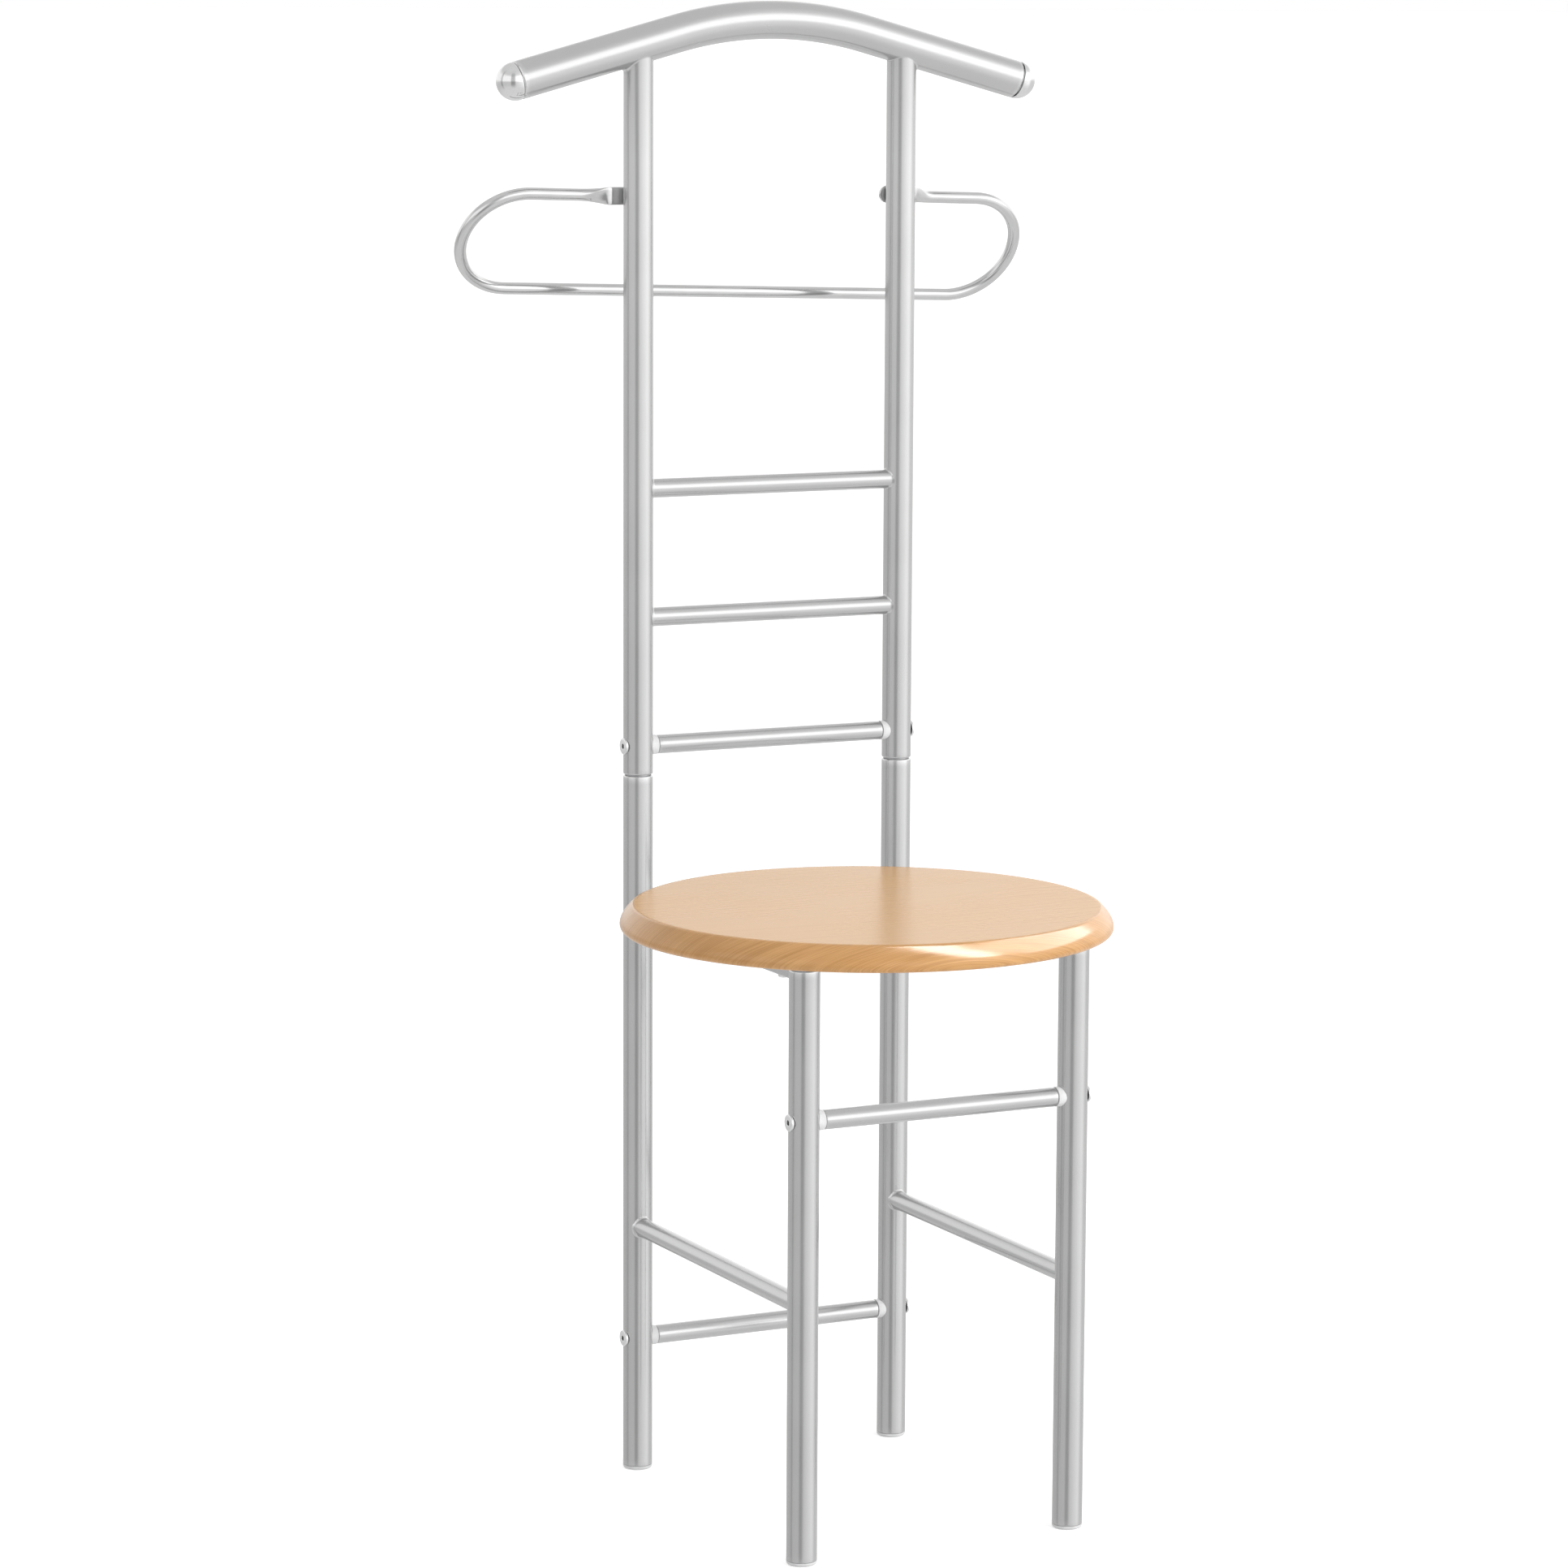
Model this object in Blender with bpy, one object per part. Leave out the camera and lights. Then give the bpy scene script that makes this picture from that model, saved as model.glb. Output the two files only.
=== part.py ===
"""Valet stand: a round-tube frame with a shoulder bar, a trouser bar, three rungs and a round seat.

Metres, +Z up, the front faces -Y, and left is -X. The origin is on the floor, in the middle of the
stand's bounding box. Nothing moves: the frame is welded, plugged and screwed together.
"""

import math

import bmesh
import bpy
from mathutils import Vector

# Fits between neighbouring pieces
GAP = 0.0003  # left between two pieces that touch
SCREW_CLEARANCE = 0.0004  # round a screw's shank, on the radius

# Uprights and legs
TUBE_DIA = 0.022
TUBE_WALL = 0.0015
LEG_SPACING_X = 0.215  # between the tubes' centres, left to right
JOINT_RISE = 0.0798  # from the seat's top up to the groove between an upper upright and its back leg
JOINT_GROOVE = 0.0008
TUBE_CHAMFER = 0.0005
SLEEVE_UP = 0.014
SLEEVE_DOWN = 0.040
SLEEVE_WALL = 0.0015

# Feet
FOOT_HEIGHT = 0.0028
FOOT_ROUND = 0.0022
PLUG_DEPTH = 0.018
TOP_PLUG_FLANGE = 0.0012

# Rungs and stretchers
RUNG_DIA = 0.014
RUNG_WALL = 0.0012
LOWER_RUNG_RISE = 0.0215  # above the joint groove
RUNG_PITCH = 0.095
FRONT_STRETCHER_Z = 0.319
BACK_STRETCHER_Z = 0.1008
SIDE_STRETCHER_Z = 0.1865

# Screwed joints of the lower rung and the front and back stretchers
COLLAR_OVERSIZE = 0.0004  # a collar's diameter, over its tube's
COLLAR_REACH = 0.0034  # how far a collar stands off the tube's side
INSERT_LENGTH = 0.016
SCREW_DIA = 0.006
SCREW_HEAD_DIA = 0.0122
SCREW_HEAD_HEIGHT = 0.0020
SCREW_HEAD_ROUND = 0.0006
SCREW_TIP_CHAMFER = 0.0005
SOCKET_CORNERS = 0.00462  # the hexagon socket, across its corners
SOCKET_DEPTH = 0.0014
SPOT_FACE_DEPTH = 0.0008  # the tube's side is pressed flat this far under a head
SPOT_FACE_DIA = 0.0132

# Shoulder bar
HANGER_DIA = 0.028
HANGER_WALL = 0.0015
HANGER_PEAK_Z = 1.0798  # the centre line's highest point
HANGER_HALF_SPAN = 0.2035  # from the middle to the joint of a cap, along X
ARCH_RADIUS = 0.300
ARM_SLOPE = math.radians(14.9)
CAP_RIM = 0.0012  # the straight rim of a cap, before its dome
CAP_SPIGOT = 0.012

# Trouser bar
ROD_DIA = 0.009
BAR_DROP = 0.1282  # from the shoulder bar's peak down to the tabs
BAR_UPPER_SETBACK = 0.0217  # behind the uprights' centre plane
LOOP_DROP = 0.0740  # from the tabs down to the rail
BAR_RAIL_SETBACK = 0.0712
BAR_HALF_WIDTH = 0.232
BAR_ROLL = math.radians(1.87)  # the arms and the rail hang a little lower on the right
TAB_ROLL = math.radians(0.34)
ARM_SAG = {"left": -0.0008, "right": 0.0027}  # from a tab's line down to its arm's
TAB_HEIGHT = 0.013
TAB_THICKNESS = 0.0025
TAB_OVERHANG = 0.0113  # from the tab's screw to its inner end
TAB_REACH = 0.0183  # from the tab's screw to the crease where the rod begins to be pressed flat
FLARE_LENGTH = 0.0195
TAB_SCREW_DIA = 0.004
TAB_SCREW_HEAD_DIA = 0.0085
TAB_SCREW_HEAD_HEIGHT = 0.0024
TAB_SCREW_LENGTH = 0.012

# Seat
SEAT_DIA = 0.3574
SEAT_THICKNESS = 0.0188
SEAT_TOP_Z = 0.4477
SEAT_CLEARANCE = 0.00456  # between the seat's edge and a back leg
FRONT_LEG_INSET = 0.0211  # from the seat's widest line in to a front leg's centre line
RIM_INSET = 0.0087  # the crease round the top lies this far inside the widest line
RIM_DROP = 0.0142  # the widest line lies this far below the top
SEAT_RAIL_WIDTH = 0.012
SEAT_RAIL_HEIGHT = 0.010
SEAT_RAIL_WALL = 0.0012
SEAT_SCREW_DIA = 0.004
SEAT_SCREW_HEAD_DIA = 0.008
SEAT_SCREW_HEAD_HEIGHT = 0.0022
SEAT_SCREW_HEAD_FLAT = 0.7  # the head's flat, as a share of its diameter
SEAT_SCREW_HEAD_EDGE = 0.4  # the head's straight edge, as a share of its height
SEAT_SCREW_BITE = 0.012  # how deep a screw goes into the board
SEAT_SCREW_INSET = 0.033  # from a front leg's centre back to the first screw

# Smoothness
TUBE_SIDES = 20
RUNG_SIDES = 16
ROD_SIDES = 12
SMALL_SIDES = 12
SEAT_SIDES = 64
ARCH_STEPS = 8
LOOP_STEPS = 12

# Worked out from the sizes above
TUBE_R = TUBE_DIA / 2
RUNG_R = RUNG_DIA / 2
ROD_R = ROD_DIA / 2
HANGER_R = HANGER_DIA / 2
SEAT_R = SEAT_DIA / 2
LEG_X = LEG_SPACING_X / 2
COLLAR_R = RUNG_R + COLLAR_OVERSIZE / 2
SEAT_SETFORWARD = math.sqrt((SEAT_R + SEAT_CLEARANCE + TUBE_R) ** 2 - LEG_X**2)
FRONT_LEG_LEAD = math.sqrt((SEAT_R - FRONT_LEG_INSET) ** 2 - LEG_X**2)
FRONT_REACH = SEAT_SETFORWARD + SEAT_R
BACK_REACH = BAR_RAIL_SETBACK + ROD_R
BACK_Y = (FRONT_REACH - BACK_REACH) / 2
SEAT_Y = BACK_Y - SEAT_SETFORWARD
FRONT_Y = SEAT_Y - FRONT_LEG_LEAD
JOINT_Z = SEAT_TOP_Z + JOINT_RISE
LOWER_RUNG_Z = JOINT_Z + LOWER_RUNG_RISE
BAR_UPPER_Z = HANGER_PEAK_Z - BAR_DROP
BAR_RAIL_Z = BAR_UPPER_Z - LOOP_DROP
SEAT_BOTTOM_Z = SEAT_TOP_Z - SEAT_THICKNESS
RAIL_Z = SEAT_BOTTOM_Z - GAP - SEAT_RAIL_HEIGHT / 2
COLLAR_END = TUBE_R + COLLAR_REACH  # from a tube's centre line
SEAT_SCREW_REACH = FRONT_LEG_LEAD - SEAT_SCREW_INSET  # from the seat's centre, both ways
SEAT_SCREW_YS = [SEAT_Y - SEAT_SCREW_REACH, SEAT_Y + SEAT_SCREW_REACH]
SIDES = {"left": -1, "right": 1}


# ---------------------------------------------------------------- helpers


def clear_scene():
    for thing in list(bpy.data.objects):
        bpy.data.objects.remove(thing)


def make_material(name, colour, roughness, metallic):
    material = bpy.data.materials.new(name)
    material.use_nodes = True
    shader = material.node_tree.nodes["Principled BSDF"]
    shader.inputs["Base Color"].default_value = (*colour, 1.0)
    shader.inputs["Roughness"].default_value = roughness
    shader.inputs["Metallic"].default_value = metallic
    return material


def lacquer(name):
    return make_material(f"{name}_lacquer", (0.55, 0.56, 0.57), 0.38, 0.85)


def chrome(name):
    return make_material(f"{name}_chrome", (0.78, 0.78, 0.79), 0.12, 1.0)


def grey_plastic(name):
    return make_material(f"{name}_plastic", (0.70, 0.70, 0.70), 0.45, 0.0)


def beech(name):
    return make_material(f"{name}_beech", (0.70, 0.47, 0.28), 0.35, 0.0)


def mesh_object(name, bm, material):
    """Turns a bmesh into a smooth-shaded object with its faces pointing out."""
    bmesh.ops.recalc_face_normals(bm, faces=bm.faces)
    mesh = bpy.data.meshes.new(name)
    bm.to_mesh(mesh)
    bm.free()
    mesh.shade_smooth()
    mesh.set_sharp_from_angle(angle=math.radians(35))
    made = bpy.data.objects.new(name, mesh)
    bpy.context.scene.collection.objects.link(made)
    if material:
        mesh.materials.append(material)
    return made


def bridge(bm, ring, other):
    """Quads between two rings, or triangles where one of them is a single point."""
    count = max(len(ring), len(other))
    for i in range(count):
        j = (i + 1) % count
        corners = [ring[i % len(ring)], ring[j % len(ring)], other[j % len(other)], other[i % len(other)]]
        bm.faces.new(list(dict.fromkeys(corners)))


def turned(name, profile, sides, material, closed=False):
    """A profile of (radius, height) points turned round Z. A closed one makes a tube."""
    bm = bmesh.new()
    rings = []
    for radius, height in profile:
        steps = sides if radius > 0 else 1
        angles = [2 * math.pi * k / steps for k in range(steps)]
        rings.append([bm.verts.new((radius * math.cos(a), radius * math.sin(a), height)) for a in angles])
    pairs = list(zip(rings, rings[1:]))
    if closed:
        pairs.append((rings[-1], rings[0]))
    for ring, other in pairs:
        bridge(bm, ring, other)
    return mesh_object(name, bm, material)


def place(thing, position, direction=(0, 0, 1)):
    """Moves an object to a position, with its Z along a direction."""
    turn = Vector((0, 0, 1)).rotation_difference(Vector(direction).normalized())
    thing.rotation_mode = "QUATERNION"
    thing.rotation_quaternion = turn
    thing.location = position
    return thing


def straight_tube(name, start, end, radius, wall, sides, material, start_chamfer=0.0, end_chamfer=0.0):
    """An open-ended round tube from one point to another."""
    start, end = Vector(start), Vector(end)
    length = (end - start).length
    profile = [(radius - start_chamfer, 0.0), (radius, start_chamfer)]
    profile += [(radius, length - end_chamfer), (radius - end_chamfer, length)]
    profile += [(radius - wall, length), (radius - wall, 0.0)]
    profile = list(dict.fromkeys(profile))
    made = turned(name, profile, sides, material, closed=True)
    return place(made, start, end - start)


def cutter(name, start, end, radius, sides=TUBE_SIDES):
    """A solid cylinder that cuts others and isn't a piece itself."""
    start, end = Vector(start), Vector(end)
    profile = [(0.0, 0.0), (radius, 0.0), (radius, (end - start).length), (0.0, (end - start).length)]
    made = place(turned(name, profile, sides, None), start, end - start)
    return hide_cutter(made)


def hide_cutter(made):
    made.hide_render = True
    made.display_type = "WIRE"
    return made


def cut(piece, *cutters):
    for tool in cutters:
        modifier = piece.modifiers.new(tool.name, "BOOLEAN")
        modifier.operation = "DIFFERENCE"
        modifier.solver = "EXACT"
        modifier.object = tool
    return piece


def swept(name, frames, sections, material, hollow=0):
    """Joins one ring of points per frame. A frame is (origin, first axis, second axis).

    With hollow, that many of each section's points, the last ones, run round the inside of a tube.
    """
    bm = bmesh.new()
    outer, inner = [], []
    for (origin, first, second), section in zip(frames, sections):
        ring = [bm.verts.new(origin + first * a + second * b) for a, b in section]
        split = len(ring) - hollow
        outer.append(ring[:split])
        inner.append(ring[split:])
    for ring, other in zip(outer, outer[1:]):
        bridge(bm, ring, other)
    if hollow:
        for ring, other in zip(inner, inner[1:]):
            bridge(bm, ring, other)
        bridge(bm, outer[0], inner[0])
        bridge(bm, outer[-1], inner[-1])
    else:
        bm.faces.new(outer[0])
        bm.faces.new(outer[-1])
    return mesh_object(name, bm, material)


def circle(radius, sides):
    angles = [2 * math.pi * k / sides for k in range(sides)]
    return [(radius * math.cos(a), radius * math.sin(a)) for a in angles]


def arc(centre, radius, start, end, steps):
    """Points (radius, height) of an arc, both ends included."""
    angles = [start + (end - start) * k / steps for k in range(steps + 1)]
    return [(centre[0] + radius * math.cos(a), centre[1] + radius * math.sin(a)) for a in angles]


# ---------------------------------------------------------------- shoulder bar


def hanger_point(x):
    """The bar's centre line at x: its height and its slope."""
    reach = ARCH_RADIUS * math.sin(ARM_SLOPE)
    if abs(x) <= reach:
        lean = math.asin(x / ARCH_RADIUS)
        return HANGER_PEAK_Z - ARCH_RADIUS * (1 - math.cos(lean)), lean
    drop = ARCH_RADIUS * (1 - math.cos(ARM_SLOPE))
    side = math.copysign(1.0, x)
    return HANGER_PEAK_Z - drop - (abs(x) - reach) * math.tan(ARM_SLOPE), side * ARM_SLOPE


def hanger_frames(half_span):
    reach = ARCH_RADIUS * math.sin(ARM_SLOPE)
    steps = ARCH_STEPS
    xs = [ARCH_RADIUS * math.sin(ARM_SLOPE * (2 * k / steps - 1)) for k in range(steps + 1)]
    if half_span > reach:
        xs = [-half_span] + xs + [half_span]
    else:
        xs = [-half_span] + [x for x in xs if abs(x) < half_span] + [half_span]
    frames = []
    for x in xs:
        height, lean = hanger_point(x)
        up = Vector((math.sin(lean), 0.0, math.cos(lean)))
        frames.append((Vector((x, BACK_Y, height)), up, Vector((0.0, 1.0, 0.0))))
    return frames


def make_hanger_bar():
    frames = hanger_frames(HANGER_HALF_SPAN)
    section = circle(HANGER_R, TUBE_SIDES) + circle(HANGER_R - HANGER_WALL, TUBE_SIDES)
    swept("hanger_bar", frames, [section] * len(frames), lacquer("hanger_bar"), hollow=TUBE_SIDES)


def make_hanger_caps():
    spigot = HANGER_R - HANGER_WALL - GAP
    profile = [(0.0, -CAP_SPIGOT), (spigot, -CAP_SPIGOT), (spigot, GAP), (HANGER_R, GAP)]
    profile += arc((0.0, GAP + CAP_RIM), HANGER_R, 0.0, math.pi / 2, 6)[:-1]
    profile.append((0.0, GAP + CAP_RIM + HANGER_R))
    for side, sign in SIDES.items():
        cap = turned(f"hanger_cap_{side}", profile, TUBE_SIDES, chrome(f"hanger_cap_{side}"))
        height, lean = hanger_point(sign * HANGER_HALF_SPAN)
        outward = (sign * math.cos(lean), 0.0, -abs(math.sin(lean)))
        place(cap, (sign * HANGER_HALF_SPAN, BACK_Y, height), outward)


def hanger_cutter():
    """The bar's solid, a gap larger, which shapes the tops of the uprights."""
    frames = hanger_frames(HANGER_HALF_SPAN)
    section = circle(HANGER_R + GAP, TUBE_SIDES)
    return hide_cutter(swept("cut_hanger", frames, [section] * len(frames), None))


# ---------------------------------------------------------------- uprights and legs


def screw_hole_cutter(name, sign, y, z):
    """A stepped cutter for one tube: the screw's hole along X, and the flat seat under its head."""
    hole = SCREW_DIA / 2 + SCREW_CLEARANCE
    through = 2 * TUBE_DIA
    profile = [(0.0, -through), (hole, -through), (hole, 0.0), (SPOT_FACE_DIA / 2, 0.0)]
    profile += [(SPOT_FACE_DIA / 2, TUBE_R), (0.0, TUBE_R)]
    made = turned(f"cut_{name}_hole", profile, SMALL_SIDES, None)
    seat_x = sign * (LEG_X + TUBE_R - SPOT_FACE_DEPTH)
    return hide_cutter(place(made, (seat_x, y, z), (sign, 0.0, 0.0)))


def make_upper_uprights(hanger_shape):
    for side, sign in SIDES.items():
        name = f"upper_upright_{side}"
        x = sign * LEG_X
        start = (x, BACK_Y, JOINT_Z + JOINT_GROOVE / 2)
        end = (x, BACK_Y, hanger_point(x)[0])
        upright = straight_tube(
            name, start, end, TUBE_R, TUBE_WALL, TUBE_SIDES, lacquer(name), start_chamfer=TUBE_CHAMFER
        )
        tab_z = tab_height(sign)
        tab_hole = cutter(
            f"cut_{name}_tab",
            (x, BACK_Y, tab_z),
            (x, BACK_Y + 2 * TUBE_R, tab_z),
            TAB_SCREW_DIA / 2 + SCREW_CLEARANCE,
            SMALL_SIDES,
        )
        cut(upright, hanger_shape, screw_hole_cutter(name, sign, BACK_Y, LOWER_RUNG_Z), tab_hole)


def make_back_legs():
    for side, sign in SIDES.items():
        name = f"back_leg_{side}"
        x = sign * LEG_X
        start = (x, BACK_Y, FOOT_HEIGHT + GAP)
        end = (x, BACK_Y, JOINT_Z - JOINT_GROOVE / 2)
        leg = straight_tube(
            name, start, end, TUBE_R, TUBE_WALL, TUBE_SIDES, lacquer(name), end_chamfer=TUBE_CHAMFER
        )
        cut(leg, screw_hole_cutter(name, sign, BACK_Y, BACK_STRETCHER_Z))


def make_front_legs():
    top = SEAT_BOTTOM_Z - 2 * GAP - TOP_PLUG_FLANGE
    for side, sign in SIDES.items():
        name = f"front_leg_{side}"
        x = sign * LEG_X
        start = (x, FRONT_Y, FOOT_HEIGHT + GAP)
        leg = straight_tube(
            name, start, (x, FRONT_Y, top), TUBE_R, TUBE_WALL, TUBE_SIDES, lacquer(name)
        )
        cut(leg, screw_hole_cutter(name, sign, FRONT_Y, FRONT_STRETCHER_Z))


def make_joint_sleeves():
    radius = TUBE_R - TUBE_WALL - GAP
    for side, sign in SIDES.items():
        name = f"joint_sleeve_{side}"
        x = sign * LEG_X
        start = (x, BACK_Y, JOINT_Z - SLEEVE_DOWN)
        end = (x, BACK_Y, JOINT_Z + SLEEVE_UP)
        straight_tube(name, start, end, radius, SLEEVE_WALL, SMALL_SIDES, lacquer(name))


def make_foot_plugs():
    spigot = TUBE_R - TUBE_WALL - GAP
    profile = [(0.0, 0.0), (TUBE_R - FOOT_ROUND, 0.0)]
    profile += arc((TUBE_R - FOOT_ROUND, FOOT_ROUND), FOOT_ROUND, -math.pi / 2, 0.0, 4)[1:]
    profile += [(TUBE_R, FOOT_HEIGHT), (spigot, FOOT_HEIGHT)]
    profile += [(spigot, FOOT_HEIGHT + PLUG_DEPTH), (0.0, FOOT_HEIGHT + PLUG_DEPTH)]
    for end, y in (("front", FRONT_Y), ("back", BACK_Y)):
        for side, sign in SIDES.items():
            name = f"foot_plug_{end}_{side}"
            plug = turned(name, profile, TUBE_SIDES, grey_plastic(name))
            place(plug, (sign * LEG_X, y, 0.0))


def make_leg_top_plugs():
    spigot = TUBE_R - TUBE_WALL - GAP
    profile = [(0.0, -PLUG_DEPTH), (spigot, -PLUG_DEPTH), (spigot, 0.0), (TUBE_R, 0.0)]
    profile += [(TUBE_R, TOP_PLUG_FLANGE), (0.0, TOP_PLUG_FLANGE)]
    for side, sign in SIDES.items():
        name = f"leg_top_plug_{side}"
        plug = turned(name, profile, SMALL_SIDES, grey_plastic(name))
        place(plug, (sign * LEG_X, FRONT_Y, SEAT_BOTTOM_Z - GAP - TOP_PLUG_FLANGE))


# ---------------------------------------------------------------- rungs and stretchers


def leg_cutters():
    """One cylinder round each leg's line, a gap larger than the tube, which shapes what meets it."""
    cutters = {}
    for end, y in (("front", FRONT_Y), ("back", BACK_Y)):
        for side, sign in SIDES.items():
            low, high = (sign * LEG_X, y, -TUBE_R), (sign * LEG_X, y, HANGER_PEAK_Z)
            cutters[end, side] = cutter(f"cut_leg_{end}_{side}", low, high, TUBE_R + GAP)
    return cutters


def make_welded_rungs(legs):
    for name, z in (
        ("upper_rung", LOWER_RUNG_Z + 2 * RUNG_PITCH),
        ("middle_rung", LOWER_RUNG_Z + RUNG_PITCH),
    ):
        rung = straight_tube(
            name, (-LEG_X, BACK_Y, z), (LEG_X, BACK_Y, z), RUNG_R, RUNG_WALL, RUNG_SIDES, lacquer(name)
        )
        cut(rung, legs["back", "left"], legs["back", "right"])


def make_side_stretchers(legs):
    for side, sign in SIDES.items():
        name = f"side_stretcher_{side}"
        start = (sign * LEG_X, FRONT_Y, SIDE_STRETCHER_Z)
        end = (sign * LEG_X, BACK_Y, SIDE_STRETCHER_Z)
        stretcher = straight_tube(name, start, end, RUNG_R, RUNG_WALL, RUNG_SIDES, lacquer(name))
        cut(stretcher, legs["front", side], legs["back", side])


def make_screwed_rung(name, end, y, z, legs):
    """A tube between two legs, with a collar, an insert and a screw at each end."""
    half = LEG_X - COLLAR_END - GAP
    straight_tube(name, (-half, y, z), (half, y, z), RUNG_R, RUNG_WALL, RUNG_SIDES, lacquer(name))
    for side, sign in SIDES.items():
        bore = SCREW_DIA / 2 + SCREW_CLEARANCE
        inward = (-sign, 0.0, 0.0)
        collar_name = f"{name}_collar_{side}"
        collar = straight_tube(
            collar_name,
            (sign * LEG_X, y, z),
            (sign * (LEG_X - COLLAR_END), y, z),
            COLLAR_R,
            COLLAR_R - bore,
            RUNG_SIDES,
            grey_plastic(collar_name),
        )
        cut(collar, legs[end, side])
        insert_name = f"{name}_insert_{side}"
        radius = RUNG_R - RUNG_WALL - GAP
        profile = [(bore, 0.0), (radius, 0.0), (radius, INSERT_LENGTH), (bore, INSERT_LENGTH)]
        insert = turned(insert_name, profile, SMALL_SIDES, lacquer(insert_name), closed=True)
        place(insert, (sign * half, y, z), inward)
        screw = make_frame_screw(f"{name}_screw_{side}")
        place(screw, (sign * (LEG_X + TUBE_R - SPOT_FACE_DEPTH + GAP), y, z), (sign, 0.0, 0.0))


def make_frame_screw(name):
    """A flat-headed machine screw with a hexagon socket, its head's underside at Z = 0."""
    length = TUBE_R - SPOT_FACE_DEPTH + COLLAR_END + INSERT_LENGTH
    shank, head = SCREW_DIA / 2, SCREW_HEAD_DIA / 2
    top = SCREW_HEAD_HEIGHT
    profile = [(0.0, -length), (shank - SCREW_TIP_CHAMFER, -length)]
    profile += [(shank, SCREW_TIP_CHAMFER - length), (shank, 0.0), (head, 0.0)]
    profile += arc((head - SCREW_HEAD_ROUND, top - SCREW_HEAD_ROUND), SCREW_HEAD_ROUND, 0.0, math.pi / 2, 3)
    profile.append((0.0, top))
    screw = turned(name, profile, SMALL_SIDES, chrome(name))
    corner = SOCKET_CORNERS / 2
    depth = [(0.0, top - SOCKET_DEPTH), (corner, top - SOCKET_DEPTH), (corner, 2 * top), (0.0, 2 * top)]
    socket = hide_cutter(turned(f"cut_{name}_socket", depth, 6, None))
    socket.parent = screw
    return cut(screw, socket)


# ---------------------------------------------------------------- trouser bar


def tab_height(sign):
    """The height of a tab's screw, on the line where the tabs cross the uprights."""
    return BAR_UPPER_Z - math.tan(TAB_ROLL) * sign * LEG_X


def flare(x):
    """How much of the tab is left in the rod's section at x: 1 on the tab, 0 past the flare."""
    run = (abs(x) - LEG_X - TAB_REACH) / FLARE_LENGTH
    return (1.0 - min(1.0, max(0.0, run))) ** 2


def bar_shape(x, down):
    """A point of the bar, from its x and how far it is from the upper line (0) to the rail (1)."""
    side = "right" if x > 0 else "left"
    arm_start = math.copysign(LEG_X + TAB_REACH + FLARE_LENGTH, x)
    tab_line = BAR_UPPER_Z - math.tan(TAB_ROLL) * x
    arm_line = BAR_UPPER_Z - math.tan(TAB_ROLL) * arm_start - ARM_SAG[side]
    arm_line -= math.tan(BAR_ROLL) * (x - arm_start)
    upper_z = arm_line + (tab_line - arm_line) * flare(x)
    rail_z = BAR_RAIL_Z - math.tan(BAR_ROLL) * x
    tab_setback = TUBE_R + GAP + TAB_THICKNESS / 2
    upper = BAR_UPPER_SETBACK + (tab_setback - BAR_UPPER_SETBACK) * flare(x)
    setback = upper + (BAR_RAIL_SETBACK - upper) * down
    return Vector((x, BACK_Y + setback, upper_z + (rail_z - upper_z) * down))


def bar_half():
    """The right half of the bar, from its tab's end round the loop.

    Each row is (x, down, half height, half thickness).
    """
    radius = math.hypot(BAR_UPPER_Z - BAR_RAIL_Z, BAR_RAIL_SETBACK - BAR_UPPER_SETBACK) / 2
    turn_x = BAR_HALF_WIDTH - ROD_R - radius
    tab_end = LEG_X - TAB_OVERHANG
    tab_r = TAB_HEIGHT / 2
    rows = []
    for share in (0.03, 0.14, 0.32, 0.6, 1.0):
        run = tab_r * share
        rows.append((tab_end + run, 0, math.sqrt(tab_r**2 - (tab_r - run) ** 2), TAB_THICKNESS / 2))
    for k in range(7):
        x = LEG_X + TAB_REACH + FLARE_LENGTH * k / 6
        tall = ROD_R + (tab_r - ROD_R) * flare(x)
        thick = ROD_R + (TAB_THICKNESS / 2 - ROD_R) * flare(x)
        rows.append((x, 0, tall, thick))
    for k in range(LOOP_STEPS + 1):
        a = math.pi * k / LOOP_STEPS
        rows.append((turn_x + radius * math.sin(a), (1 - math.cos(a)) / 2, ROD_R, ROD_R))
    return rows


def make_trouser_bar():
    right = bar_half()
    left = [(-x, down, tall, thick) for x, down, tall, thick in right]
    rows = left + right[::-1]
    points = [bar_shape(x, down) for x, down, _, _ in rows]
    across = Vector((0, 1, 0))
    tilted = Vector((0, BAR_UPPER_Z - BAR_RAIL_Z, BAR_RAIL_SETBACK - BAR_UPPER_SETBACK)).normalized()
    frames, sections = [], []
    for i, (x, down, tall, thick) in enumerate(rows):
        along = (points[min(i + 1, len(rows) - 1)] - points[max(i - 1, 0)]).normalized()
        flatness = flare(x)
        reference = tilted.lerp(across, flatness)
        second = (reference - along * reference.dot(along)).normalized()
        first = second.cross(along)
        power = 1.0 - 0.55 * flatness
        section = []
        for a, b in circle(1.0, ROD_SIDES):
            section.append((
                tall * math.copysign(abs(a) ** power, a),
                thick * math.copysign(abs(b) ** power, b),
            ))
        frames.append((points[i], first, second))
        sections.append(section)
    bar = swept("trouser_bar", frames, sections, chrome("trouser_bar"))
    for side, sign in SIDES.items():
        z = tab_height(sign)
        near, far = BACK_Y, BACK_Y + TUBE_R + 4 * TAB_THICKNESS
        hole = cutter(
            f"cut_tab_hole_{side}",
            (sign * LEG_X, near, z),
            (sign * LEG_X, far, z),
            TAB_SCREW_DIA / 2 + SCREW_CLEARANCE,
            SMALL_SIDES,
        )
        cut(bar, hole)
        make_tab_screw(f"tab_screw_{side}", sign, z)


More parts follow.
